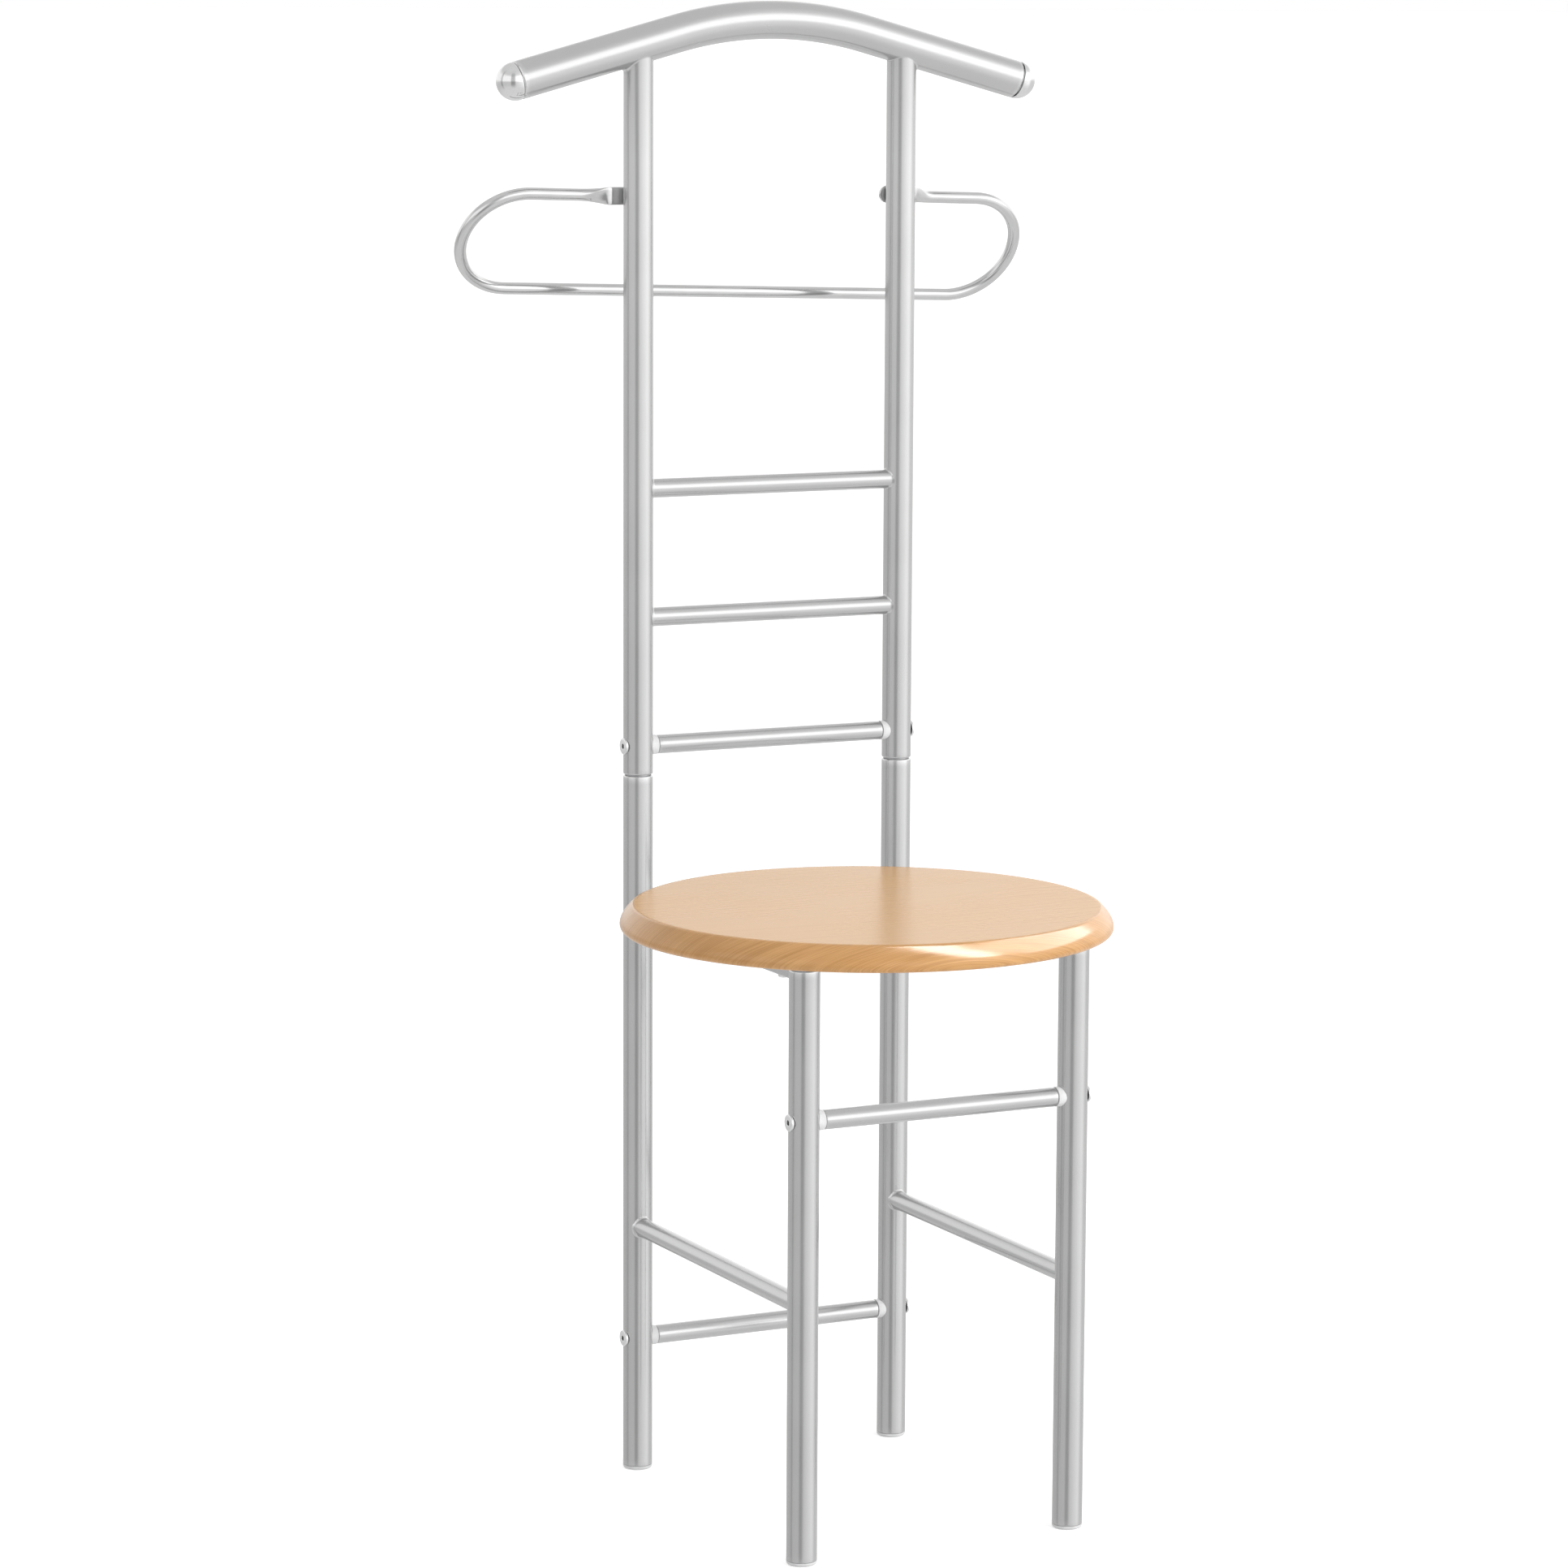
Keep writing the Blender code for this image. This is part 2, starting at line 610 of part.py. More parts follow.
def make_tab_screw(name, sign, z):
    """A round-headed screw through a tab, into the back of an upright."""
    shank, head = TAB_SCREW_DIA / 2, TAB_SCREW_HEAD_DIA / 2
    rise = TAB_SCREW_HEAD_HEIGHT
    profile = [(0.0, -TAB_SCREW_LENGTH), (shank, -TAB_SCREW_LENGTH), (shank, 0.0), (head, 0.0)]
    for k in range(1, 5):
        a = math.pi / 2 * k / 5
        profile.append((head * math.cos(a), rise * math.sin(a)))
    profile.append((0.0, rise))
    screw = turned(name, profile, SMALL_SIDES, chrome(name))
    behind = BACK_Y + TUBE_R + TAB_THICKNESS + 2 * GAP
    place(screw, (sign * LEG_X, behind, z), (0.0, 1.0, 0.0))


# ---------------------------------------------------------------- seat


def seat_profile():
    """The board's turned profile: flat top, a crease, a bulging rim and a rounded lower edge."""
    crease_r = SEAT_R - RIM_INSET
    widest_z = SEAT_THICKNESS - RIM_DROP
    profile = [(0.0, SEAT_THICKNESS), (crease_r, SEAT_THICKNESS)]
    steps = 6
    for k in range(1, steps):
        t = k / steps
        profile.append((crease_r + RIM_INSET * math.sin(math.pi / 2 * t), SEAT_THICKNESS - RIM_DROP * t))
    under = arc((SEAT_R - widest_z, widest_z), widest_z, 0.0, -math.pi / 2, 5)
    return profile + under + [(0.0, 0.0)]


def make_seat():
    seat = turned("seat", seat_profile(), SEAT_SIDES, beech("seat"))
    place(seat, (0.0, SEAT_Y, SEAT_BOTTOM_Z))
    radius = SEAT_SCREW_DIA / 2 + SCREW_CLEARANCE
    for side, sign in SIDES.items():
        for end, y in zip(("front", "back"), SEAT_SCREW_YS):
            low = (sign * LEG_X, y, SEAT_BOTTOM_Z - SEAT_RAIL_HEIGHT)
            high = (sign * LEG_X, y, SEAT_BOTTOM_Z + SEAT_SCREW_BITE + 2 * GAP)
            cut(seat, cutter(f"cut_seat_{end}_{side}", low, high, radius, SMALL_SIDES))


def rectangle(width, height):
    corners = [(1, 1), (-1, 1), (-1, -1), (1, -1)]
    return [(a * width / 2, b * height / 2) for a, b in corners]


def make_seat_rails(legs):
    """Rectangular tubes from the front legs to the back legs, right under the board."""
    outer = rectangle(SEAT_RAIL_WIDTH, SEAT_RAIL_HEIGHT)
    inner = rectangle(SEAT_RAIL_WIDTH - 2 * SEAT_RAIL_WALL, SEAT_RAIL_HEIGHT - 2 * SEAT_RAIL_WALL)
    across, up = Vector((1, 0, 0)), Vector((0, 0, 1))
    for side, sign in SIDES.items():
        name = f"seat_rail_{side}"
        x = sign * LEG_X
        ends = (FRONT_Y + TUBE_R / 2, BACK_Y - TUBE_R / 2)
        frames = [(Vector((x, y, RAIL_Z)), across, up) for y in ends]
        rail = swept(name, frames, [outer + inner] * 2, lacquer(name), hollow=4)
        cut(rail, legs["front", side], legs["back", side])
        radius = SEAT_SCREW_DIA / 2 + SCREW_CLEARANCE
        for end, y in zip(("front", "back"), SEAT_SCREW_YS):
            below = (x, y, RAIL_Z - SEAT_RAIL_HEIGHT)
            above = (x, y, RAIL_Z + SEAT_RAIL_HEIGHT)
            cut(rail, cutter(f"cut_{name}_{end}", below, above, radius, SMALL_SIDES))
            make_seat_screw(f"seat_screw_{end}_{side}", x, y)


def make_seat_screw(name, x, y):
    """A wood screw up through a rail into the board, its head under the rail."""
    shank, head = SEAT_SCREW_DIA / 2, SEAT_SCREW_HEAD_DIA / 2
    length = SEAT_RAIL_HEIGHT + 2 * GAP + SEAT_SCREW_BITE
    profile = [(0.0, -SEAT_SCREW_HEAD_HEIGHT), (SEAT_SCREW_HEAD_FLAT * head, -SEAT_SCREW_HEAD_HEIGHT)]
    profile += [(head, -SEAT_SCREW_HEAD_EDGE * SEAT_SCREW_HEAD_HEIGHT), (head, 0.0), (shank, 0.0)]
    profile += [(shank, length - 2 * shank), (0.0, length)]
    screw = turned(name, profile, SMALL_SIDES, chrome(name))
    place(screw, (x, y, RAIL_Z - SEAT_RAIL_HEIGHT / 2 - GAP))


# ---------------------------------------------------------------- the stand


def make_stand():
    clear_scene()
    legs = leg_cutters()
    make_hanger_bar()
    make_hanger_caps()
    make_upper_uprights(hanger_cutter())
    make_back_legs()
    make_front_legs()
    make_joint_sleeves()
    make_foot_plugs()
    make_leg_top_plugs()
    make_welded_rungs(legs)
    make_side_stretchers(legs)
    make_screwed_rung("lower_rung", "back", BACK_Y, LOWER_RUNG_Z, legs)
    make_screwed_rung("front_stretcher", "front", FRONT_Y, FRONT_STRETCHER_Z, legs)
    make_screwed_rung("back_stretcher", "back", BACK_Y, BACK_STRETCHER_Z, legs)
    make_trouser_bar()
    make_seat()
    make_seat_rails(legs)


make_stand()
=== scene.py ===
"""Valet stand: the finished pieces and their looks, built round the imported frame.

Metres, +Z up, the front of the seat faces -Y and left is -X. Every piece takes its place and its
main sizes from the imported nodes' boxes; what a box can't say is a named size below.
"""

import math

import bmesh
import bpy
from mathutils import Matrix, Vector


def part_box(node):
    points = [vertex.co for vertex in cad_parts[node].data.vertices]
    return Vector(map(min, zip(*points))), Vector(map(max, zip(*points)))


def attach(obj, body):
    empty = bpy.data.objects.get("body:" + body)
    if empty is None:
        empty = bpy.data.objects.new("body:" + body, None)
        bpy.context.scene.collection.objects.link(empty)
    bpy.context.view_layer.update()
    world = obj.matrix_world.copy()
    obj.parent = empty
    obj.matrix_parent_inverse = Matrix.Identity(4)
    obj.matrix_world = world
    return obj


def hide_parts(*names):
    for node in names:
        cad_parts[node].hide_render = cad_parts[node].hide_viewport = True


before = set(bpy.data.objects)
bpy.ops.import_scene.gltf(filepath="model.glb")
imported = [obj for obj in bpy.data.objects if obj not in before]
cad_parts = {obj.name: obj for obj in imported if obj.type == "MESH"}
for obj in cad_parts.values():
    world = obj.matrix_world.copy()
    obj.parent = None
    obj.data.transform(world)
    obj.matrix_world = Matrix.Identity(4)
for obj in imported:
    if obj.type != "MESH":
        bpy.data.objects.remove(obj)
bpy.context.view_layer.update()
BODY = "root"


# ---------------------------------------------------------------- sizes read from the frame


def centre(node):
    low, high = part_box(node)
    return (low + high) / 2


def extent(node):
    low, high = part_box(node)
    return high - low


SIDES = {"left": -1, "right": 1}
LEG_X = centre("back_leg_right").x
BACK_Y = centre("back_leg_left").y
FRONT_Y = centre("front_leg_left").y
LEGS = {"back": BACK_Y, "front": FRONT_Y}
TUBE_R = extent("front_leg_left").y / 2
RUNG_R = extent("upper_rung").z / 2
HANGER_R = extent("hanger_bar").y / 2
HANGER_PEAK_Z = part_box("hanger_bar")[1].z - HANGER_R
SEAT_R = extent("seat").x / 2
SEAT_THICKNESS = extent("seat").z
SEAT_CENTRE = centre("seat")
SEAT_BOTTOM_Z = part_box("seat")[0].z
RAIL_SIZE = extent("seat_rail_left")
FOOT_TOP_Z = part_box("back_leg_left")[0].z
SCREWED_RUNGS = {"lower_rung": BACK_Y, "front_stretcher": FRONT_Y, "back_stretcher": BACK_Y}
TAB_Z = {side: centre(f"tab_screw_{side}").z for side in SIDES}

# Shapes that a box doesn't tell
TUBE_WALL = 0.0015
RUNG_WALL = 0.0012
GAP = 0.0003  # clearance between parts that fit together
END_ROUND = 0.0012  # the rounded edge of an upright's end
RUNG_END_ROUND = 0.0008
CUT_ROUND = 0.0002  # the edge of a plainly cut end
ARM_SLOPE = math.radians(14.9)
ARCH_RADIUS = 0.300
RUNG_WELD = (0.0014, 0.12)  # how far a weld runs out along each tube, and how unevenly
STRETCHER_WELD = (0.0019, 0.35)
BAR_WELD = (0.0009, 0.0030)  # the weld's leg under the shoulder bar, and what it gains outside
SINK = 0.0001  # how far a weld's edge goes into the tube that it sits on
WELD_STEPS = 6
TUBE_SIDES = 96
SMALL_SIDES = 48


# ---------------------------------------------------------------- shader nodes


def node(tree, kind, inputs=None, **settings):
    """Adds a node. An input's value is a number, a colour or another node's output."""
    made = tree.nodes.new(kind)
    for key, value in settings.items():
        setattr(made, key, value)
    for key, value in (inputs or {}).items():
        if isinstance(value, bpy.types.NodeSocket):
            tree.links.new(value, made.inputs[key])
        else:
            made.inputs[key].default_value = value
    return made


def maths(tree, operation, a, b=0.0, clamp=False):
    return node(tree, "ShaderNodeMath", {0: a, 1: b}, operation=operation, use_clamp=clamp).outputs[0]


def vector_maths(tree, operation, a, b):
    second = "Scale" if operation == "SCALE" else 1
    return node(tree, "ShaderNodeVectorMath", {0: a, second: b}, operation=operation).outputs[0]


def dot_product(tree, a, b):
    return node(tree, "ShaderNodeVectorMath", {0: a, 1: b}, operation="DOT_PRODUCT").outputs["Value"]


def toward(tree, share, value, target):
    """A value moved a share of the way to a target."""
    gap = maths(tree, "SUBTRACT", target, value)
    return maths(tree, "ADD", value, maths(tree, "MULTIPLY", share, gap))


def mix_colour(tree, share, a, b):
    return node(tree, "ShaderNodeMix", {0: share, 6: a, 7: b}, data_type="RGBA").outputs[2]


def span(tree, value, low, high, to_low, to_high, smooth=False):
    """Maps a range onto another, held at its ends."""
    kind = "SMOOTHSTEP" if smooth else "LINEAR"
    sockets = {0: value, 1: low, 2: high, 3: to_low, 4: to_high}
    return node(tree, "ShaderNodeMapRange", sockets, interpolation_type=kind).outputs[0]


def noise(tree, where, scale, detail=2.0, roughness=0.5, distortion=0.0):
    sockets = {"Vector": where, "Scale": scale, "Detail": detail, "Roughness": roughness}
    sockets["Distortion"] = distortion
    return node(tree, "ShaderNodeTexNoise", sockets).outputs[0]


def group(name, inputs, outputs, build):
    """A shader node group. build(tree, given) returns one socket for each output's name."""
    tree = bpy.data.node_groups.new(name, "ShaderNodeTree")
    for label, (kind, default) in inputs.items():
        made = tree.interface.new_socket(name=label, in_out="INPUT", socket_type=f"NodeSocket{kind}")
        made.default_value = default
    for label, kind in outputs.items():
        tree.interface.new_socket(name=label, in_out="OUTPUT", socket_type=f"NodeSocket{kind}")
    given = tree.nodes.new("NodeGroupInput").outputs
    results = build(tree, given)
    end = tree.nodes.new("NodeGroupOutput")
    for label in outputs:
        tree.links.new(results[label], end.inputs[label])
    return tree


def placed(tree, made_group, **values):
    """A group's node with its own values, spaces in the input names written as underscores."""
    inputs = {label.replace("_", " "): value for label, value in values.items()}
    return node(tree, "ShaderNodeGroup", inputs, node_tree=made_group).outputs


def stock_place(tree):
    """Where a point lies on its piece's own stock: across, across, along, in metres."""
    return node(tree, "ShaderNodeAttribute", attribute_name="lay").outputs["Vector"]


def build_fine_grain(tree, given):
    """Small speckle, drawn out along the piece by Draw."""
    stretch = node(tree, "ShaderNodeCombineXYZ", {0: 1.0, 1: 1.0, 2: given["Draw"]}).outputs[0]
    where = vector_maths(tree, "MULTIPLY", stock_place(tree), stretch)
    scale = maths(tree, "DIVIDE", 1.0, given["Size"])
    fine = noise(tree, where, scale, 3.0, 0.6)
    return {"Value": span(tree, fine, 0.3, 0.7, 0.0, 1.0)}


def build_drift(tree, given):
    """Slow change over a hand's width, as uneven spraying or handling leaves."""
    scale = maths(tree, "DIVIDE", 1.0, given["Size"])
    slow = noise(tree, stock_place(tree), scale, 2.0, 0.5, 0.4)
    return {"Value": span(tree, slow, 0.32, 0.68, 0.0, 1.0, smooth=True)}


def build_worn_edges(tree, given):
    """A mask of the edges that hands and cloths rub, broken up so that it isn't a line."""
    edge = node(tree, "ShaderNodeAttribute", attribute_name="edge").outputs["Fac"]
    scale = maths(tree, "DIVIDE", 1.0, given["Breakup"])
    torn = noise(tree, stock_place(tree), scale, 3.0, 0.6)
    rubbed = maths(tree, "MULTIPLY", edge, span(tree, torn, 0.35, 0.6, 0.35, 1.0))
    return {"Mask": maths(tree, "MULTIPLY", rubbed, given["Amount"], clamp=True)}


def build_scuffs(tree, given):
    """Sparse thin scratches that run mostly along the piece."""
    stretch = node(tree, "ShaderNodeCombineXYZ", {0: 1.0, 1: 1.0, 2: 0.18}).outputs[0]
    where = vector_maths(tree, "MULTIPLY", stock_place(tree), stretch)
    scale = maths(tree, "DIVIDE", 1.0, given["Size"])
    cells = node(
        tree,
        "ShaderNodeTexVoronoi",
        {"Vector": where, "Scale": scale, "Randomness": 1.0},
        feature="DISTANCE_TO_EDGE",
    ).outputs["Distance"]
    hair = span(tree, cells, 0.0, 0.012, 1.0, 0.0)
    patch = span(tree, noise(tree, where, maths(tree, "MULTIPLY", scale, 0.6)), 0.56, 0.66, 0.0, 1.0)
    return {"Mask": maths(tree, "MULTIPLY", hair, patch)}


def build_beech_figure(tree, given):
    """Fine lines that run along X, gently bowed, with short darker flecks between them."""
    place = node(tree, "ShaderNodeSeparateXYZ", {0: stock_place(tree)}).outputs
    slow = node(tree, "ShaderNodeCombineXYZ", {0: place[0], 1: place[1], 2: 0.0}).outputs[0]
    bow = maths(tree, "MULTIPLY", maths(tree, "SUBTRACT", noise(tree, slow, 3.2, 1.0), 0.5), 0.05)
    down = maths(tree, "ADD", place[1], bow)
    down = maths(tree, "ADD", down, maths(tree, "MULTIPLY", place[2], given["Wrap"]))
    along = maths(tree, "MULTIPLY", place[0], given["Along"])
    line_place = node(tree, "ShaderNodeCombineXYZ", {0: along, 1: down, 2: 0.0}).outputs[0]
    fine = noise(tree, line_place, maths(tree, "DIVIDE", 1.0, given["Line Pitch"]), 3.0, 0.6)
    broad = noise(tree, line_place, maths(tree, "DIVIDE", 0.12, given["Line Pitch"]), 2.0, 0.5)
    short = maths(tree, "MULTIPLY", place[0], 0.12)
    fleck_place = node(tree, "ShaderNodeCombineXYZ", {0: short, 1: down, 2: place[2]}).outputs[0]
    fleck = noise(tree, fleck_place, maths(tree, "DIVIDE", 0.7, given["Line Pitch"]), 2.0, 0.55)
    return {
        "Line": span(tree, fine, 0.32, 0.68, 0.0, 1.0),
        "Band": span(tree, broad, 0.3, 0.7, 0.0, 1.0, smooth=True),
        "Fleck": span(tree, fleck, 0.64, 0.80, 0.0, 1.0),
    }


SIZE_IN = {"Size": ("Float", 0.001)}
FINE_GRAIN = group(
    "Fine grain",
    {**SIZE_IN, "Draw": ("Float", 1.0)},
    {"Value": "Float"},
    build_fine_grain,
)
DRIFT = group("Slow drift", SIZE_IN, {"Value": "Float"}, build_drift)
WORN_EDGES = group(
    "Worn edges",
    {"Breakup": ("Float", 0.002), "Amount": ("Float", 0.5)},
    {"Mask": "Float"},
    build_worn_edges,
)
SCUFFS = group("Scuffs", SIZE_IN, {"Mask": "Float"}, build_scuffs)
BEECH_FIGURE = group(
    "Beech figure",
    {"Line Pitch": ("Float", 0.001), "Along": ("Float", 0.03), "Wrap": ("Float", 0.0)},
    {"Line": "Float", "Band": "Float", "Fleck": "Float"},
    build_beech_figure,
)


def new_finish(name, metallic):
    """A material and its shader, ready for the nodes that feed it."""
    material = bpy.data.materials.new(name)
    material.use_nodes = True
    shader = material.node_tree.nodes["Principled BSDF"]
    shader.inputs["Metallic"].default_value = metallic
    return material, material.node_tree, shader


def feed(tree, shader, colour, roughness, height, strength, distance):
    tree.links.new(colour, shader.inputs["Base Color"])
    tree.links.new(roughness, shader.inputs["Roughness"])
    bump = node(tree, "ShaderNodeBump", {"Height": height, "Strength": strength, "Distance": distance})
    tree.links.new(bump.outputs[0], shader.inputs["Normal"])


def metal_finish(name, dark, light, rubbed, roughness, grain, draw, drift, wear, bump, metallic=1.0):
    """Metal between two tones: speckle and slow drift mix them, and rubbed edges are brighter."""
    material, tree, shader = new_finish(name, metallic)
    speckle = placed(tree, FINE_GRAIN, Size=grain, Draw=draw)["Value"]
    slow = placed(tree, DRIFT, Size=drift)["Value"]
    worn = placed(tree, WORN_EDGES, Breakup=0.0015, Amount=wear)["Mask"]
    scuff = placed(tree, SCUFFS, Size=0.022)["Mask"]
    fine = maths(tree, "MULTIPLY", speckle, 0.55)
    tone = maths(tree, "ADD", fine, maths(tree, "MULTIPLY", slow, 0.45))
    colour = mix_colour(tree, tone, (*dark, 1.0), (*light, 1.0))
    colour = mix_colour(tree, worn, colour, (*rubbed, 1.0))
    low, high = roughness
    uneven = maths(tree, "ADD", maths(tree, "MULTIPLY", speckle, 0.4), slow)
    rough = span(tree, uneven, 0.0, 1.4, low, high)
    rough = maths(tree, "SUBTRACT", rough, maths(tree, "MULTIPLY", worn, 0.05))
    rough = maths(tree, "ADD", rough, maths(tree, "MULTIPLY", scuff, 0.06))
    height = maths(tree, "SUBTRACT", speckle, scuff)
    feed(tree, shader, colour, rough, height, *bump)
    return material


def silver_lacquer():
    return metal_finish(
        "silver lacquer",
        dark=(0.50, 0.50, 0.50),
        light=(0.53, 0.53, 0.53),
        rubbed=(0.68, 0.68, 0.68),
        roughness=(0.20, 0.25),
        grain=0.0004,
        draw=0.8,
        drift=0.06,
        wear=0.7,
        bump=(0.06, 0.00002),
        metallic=0.92,
    )


def rod_chrome():
    return metal_finish(
        "polished rod chrome",
        dark=(0.55, 0.55, 0.55),
        light=(0.62, 0.62, 0.62),
        rubbed=(0.74, 0.74, 0.74),
        roughness=(0.11, 0.16),
        grain=0.0007,
        draw=0.08,
        drift=0.03,
        wear=0.5,
        bump=(0.06, 0.00002),
    )


def cap_chrome():
    return metal_finish(
        "mirror cap chrome",
        dark=(0.64, 0.64, 0.64),
        light=(0.72, 0.72, 0.72),
        rubbed=(0.86, 0.86, 0.86),
        roughness=(0.03, 0.07),
        grain=0.0009,
        draw=1.0,
        drift=0.02,
        wear=0.4,
        bump=(0.03, 0.00002),
    )


def screw_zinc():
    return metal_finish(
        "bright screw zinc",
        dark=(0.70, 0.70, 0.70),
        light=(0.78, 0.78, 0.78),
        rubbed=(0.88, 0.88, 0.88),
        roughness=(0.26, 0.36),
        grain=0.0004,
        draw=1.0,
        drift=0.004,
        wear=0.9,
        bump=(0.12, 0.00003),
    )


# Near-black finish for the screws' sockets: painted shade, standing in for the shadow inside the
# recess.
def socket_shade_steel():
    return metal_finish(
        "socket steel dark as painted shade",
        dark=(0.09, 0.09, 0.09),
        light=(0.16, 0.16, 0.16),
        rubbed=(0.30, 0.30, 0.30),
        roughness=(0.34, 0.50),
        grain=0.0003,
        draw=1.0,
        drift=0.003,
        wear=0.5,
        bump=(0.2, 0.00003),
    )


def plain_steel():
    return metal_finish(
        "plain drawn steel",
        dark=(0.42, 0.42, 0.43),
        light=(0.55, 0.55, 0.56),
        rubbed=(0.66, 0.66, 0.67),
        roughness=(0.32, 0.48),
        grain=0.0005,
        draw=0.05,
        drift=0.02,
        wear=0.6,
        bump=(0.25, 0.00005),
    )


def grey_plastic():
    """Moulded plastic with a very fine spark-eroded skin and slightly uneven colour."""
    material, tree, shader = new_finish("moulded grey plastic", 0.0)
    skin_grain = placed(tree, FINE_GRAIN, Size=0.0003, Draw=1.0)["Value"]
    slow = placed(tree, DRIFT, Size=0.008)["Value"]
    worn = placed(tree, WORN_EDGES, Breakup=0.001, Amount=0.6)["Mask"]
    colour = mix_colour(tree, slow, (0.62, 0.62, 0.62, 1.0), (0.69, 0.69, 0.69, 1.0))
    colour = mix_colour(tree, worn, colour, (0.78, 0.78, 0.78, 1.0))
    rough = span(tree, maths(tree, "ADD", skin_grain, slow), 0.0, 2.0, 0.36, 0.5)
    feed(tree, shader, colour, rough, skin_grain, 0.2, 0.00003)
    return material


def beech_finish(name, pale, deep, fleck_colour, pitch, wrap, contrast, roughness, edge_tint, gloss):
    """Beech foil under clear varnish: fine bowed lines, broad bands and short flecks."""
    material, tree, shader = new_finish(name, 0.0)
    shader.inputs["Specular IOR Level"].default_value = gloss
    figure = placed(tree, BEECH_FIGURE, Line_Pitch=pitch, Along=0.015, Wrap=wrap)
    slow = placed(tree, DRIFT, Size=0.09)["Value"]
    worn = placed(tree, WORN_EDGES, Breakup=0.004, Amount=edge_tint)["Mask"]
    line, band, fleck = figure["Line"], figure["Band"], figure["Fleck"]
    tone = maths(tree, "MULTIPLY", maths(tree, "SUBTRACT", line, 0.5), contrast)
    tone = maths(tree, "ADD", tone, maths(tree, "MULTIPLY", band, 0.40))
    tone = maths(tree, "ADD", tone, maths(tree, "MULTIPLY", slow, 0.30))
    colour = mix_colour(tree, span(tree, tone, -0.3, 1.0, 0.0, 1.0), (*deep, 1.0), (*pale, 1.0))
    colour = mix_colour(tree, maths(tree, "MULTIPLY", fleck, 0.07), colour, (*fleck_colour, 1.0))
    colour = mix_colour(tree, worn, colour, (*fleck_colour, 1.0))
    low, high = roughness
    rough = span(tree, maths(tree, "ADD", line, slow), 0.0, 2.0, low, high)
    feed(tree, shader, colour, rough, line, 0.04, 0.00002)
    return material


def beech_top():
    return beech_finish(
        "varnished beech top",
        pale=(0.595, 0.336, 0.122),
        deep=(0.535, 0.292, 0.100),
        fleck_colour=(0.48, 0.26, 0.090),
        pitch=0.0010,
        wrap=0.0,
        contrast=0.4,
        roughness=(0.25, 0.29),
        edge_tint=0.35,
        gloss=0.2,
    )


def beech_rim():
    return beech_finish(
        "varnished beech rim",
        pale=(0.63, 0.345, 0.132),
        deep=(0.46, 0.230, 0.074),
        fleck_colour=(0.42, 0.20, 0.060),
        pitch=0.0008,
        wrap=0.85,
        contrast=1.3,
        roughness=(0.16, 0.22),
        edge_tint=0.0,
        gloss=0.5,
    )


LACQUER = silver_lacquer()
ROD_CHROME = rod_chrome()
CAP_CHROME = cap_chrome()
ZINC = screw_zinc()
STEEL = plain_steel()
SOCKET_SHADE = socket_shade_steel()
PLASTIC = grey_plastic()
BEECH_TOP = beech_top()
BEECH_RIM = beech_rim()


# ---------------------------------------------------------------- making pieces


def bridge(bm, ring, other):
    """Quads between two rings, or triangles where one of them is a single point."""
    count = max(len(ring), len(other))
    made = []
    for i in range(count):
        j = (i + 1) % count
        corners = [ring[i % len(ring)], ring[j % len(ring)]]
        corners += [other[j % len(other)], other[i % len(other)]]
        made.append(bm.faces.new(list(dict.fromkeys(corners))))
    return made


def mark_edges(bm, layer):
    """Stores how sharply the surface turns at each vertex, for the wear on edges."""
    for vert in bm.verts:
        turns = [edge.calc_face_angle(0.0) for edge in vert.link_edges]
        vert[layer] = min(1.0, max(0.0, (math.degrees(max(turns)) - 8.0) / 20.0))


def skin(name, rings, stock, finishes, replaced, loop=False, second_from=None):
    """A closed surface through rings of points, as a piece that rides on the frame.

    stock gives each point's place on the straight stock. With loop the last ring meets the first,
    which makes a tube; otherwise the ends are closed. Bands from second_from on take the second
    finish.
    """
    bm = bmesh.new()
    lay = bm.verts.layers.float_vector.new("lay")
    edge = bm.verts.layers.float.new("edge")
    rows = []
    for ring, sources in zip(rings, stock):
        row = []
        for point, source in zip(ring, sources):
            vert = bm.verts.new(point)
            vert[lay] = source
            row.append(vert)
        rows.append(row)
    pairs = list(zip(rows, rows[1:]))
    if loop:
        pairs.append((rows[-1], rows[0]))
    for k, (row, other) in enumerate(pairs):
        for face in bridge(bm, row, other):
            face.material_index = 1 if second_from is not None and k >= second_from else 0
    if not loop:
        for row in (rows[0], rows[-1]):
            if len(row) > 2:
                bm.faces.new(row)
    bmesh.ops.recalc_face_normals(bm, faces=bm.faces)
    mark_edges(bm, edge)
    mesh = bpy.data.meshes.new(name)
    bm.to_mesh(mesh)
    bm.free()
    mesh.shade_smooth()
    mesh.set_sharp_from_angle(angle=math.radians(40))
    for finish in finishes:
        mesh.materials.append(finish)
    piece = bpy.data.objects.new(name, mesh)
    bpy.context.scene.collection.objects.link(piece)
    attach(piece, BODY)
    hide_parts(*replaced)
    return piece


def standing(position, direction):
    """The transform that puts stock whose length is Z at a position, along a direction."""
    turn = Vector((0, 0, 1)).rotation_difference(Vector(direction).normalized())
    return Matrix.Translation(position) @ turn.to_matrix().to_4x4()


def round_ring(radius, along, sides):
    """Stock points round Z. radius and along are numbers or functions of the angle."""
    points = []
    for k in range(sides if callable(radius) or radius > 0 else 1):
        a = 2 * math.pi * k / sides
        r = radius(a) if callable(radius) else radius
        s = along(a) if callable(along) else along
        points.append(Vector((r * math.cos(a), r * math.sin(a), s)))
    return points


def turned(name, profile, where, finishes, replaced, sides=TUBE_SIDES, loop=False, **more):
    """Turns a profile of (radius, along) points round its own axis and stands it in place."""
    stock = [round_ring(radius, along, sides) for radius, along in profile]
    rings = [[where @ point for point in ring] for ring in stock]
    return skin(name, rings, stock, finishes, replaced, loop, **more)


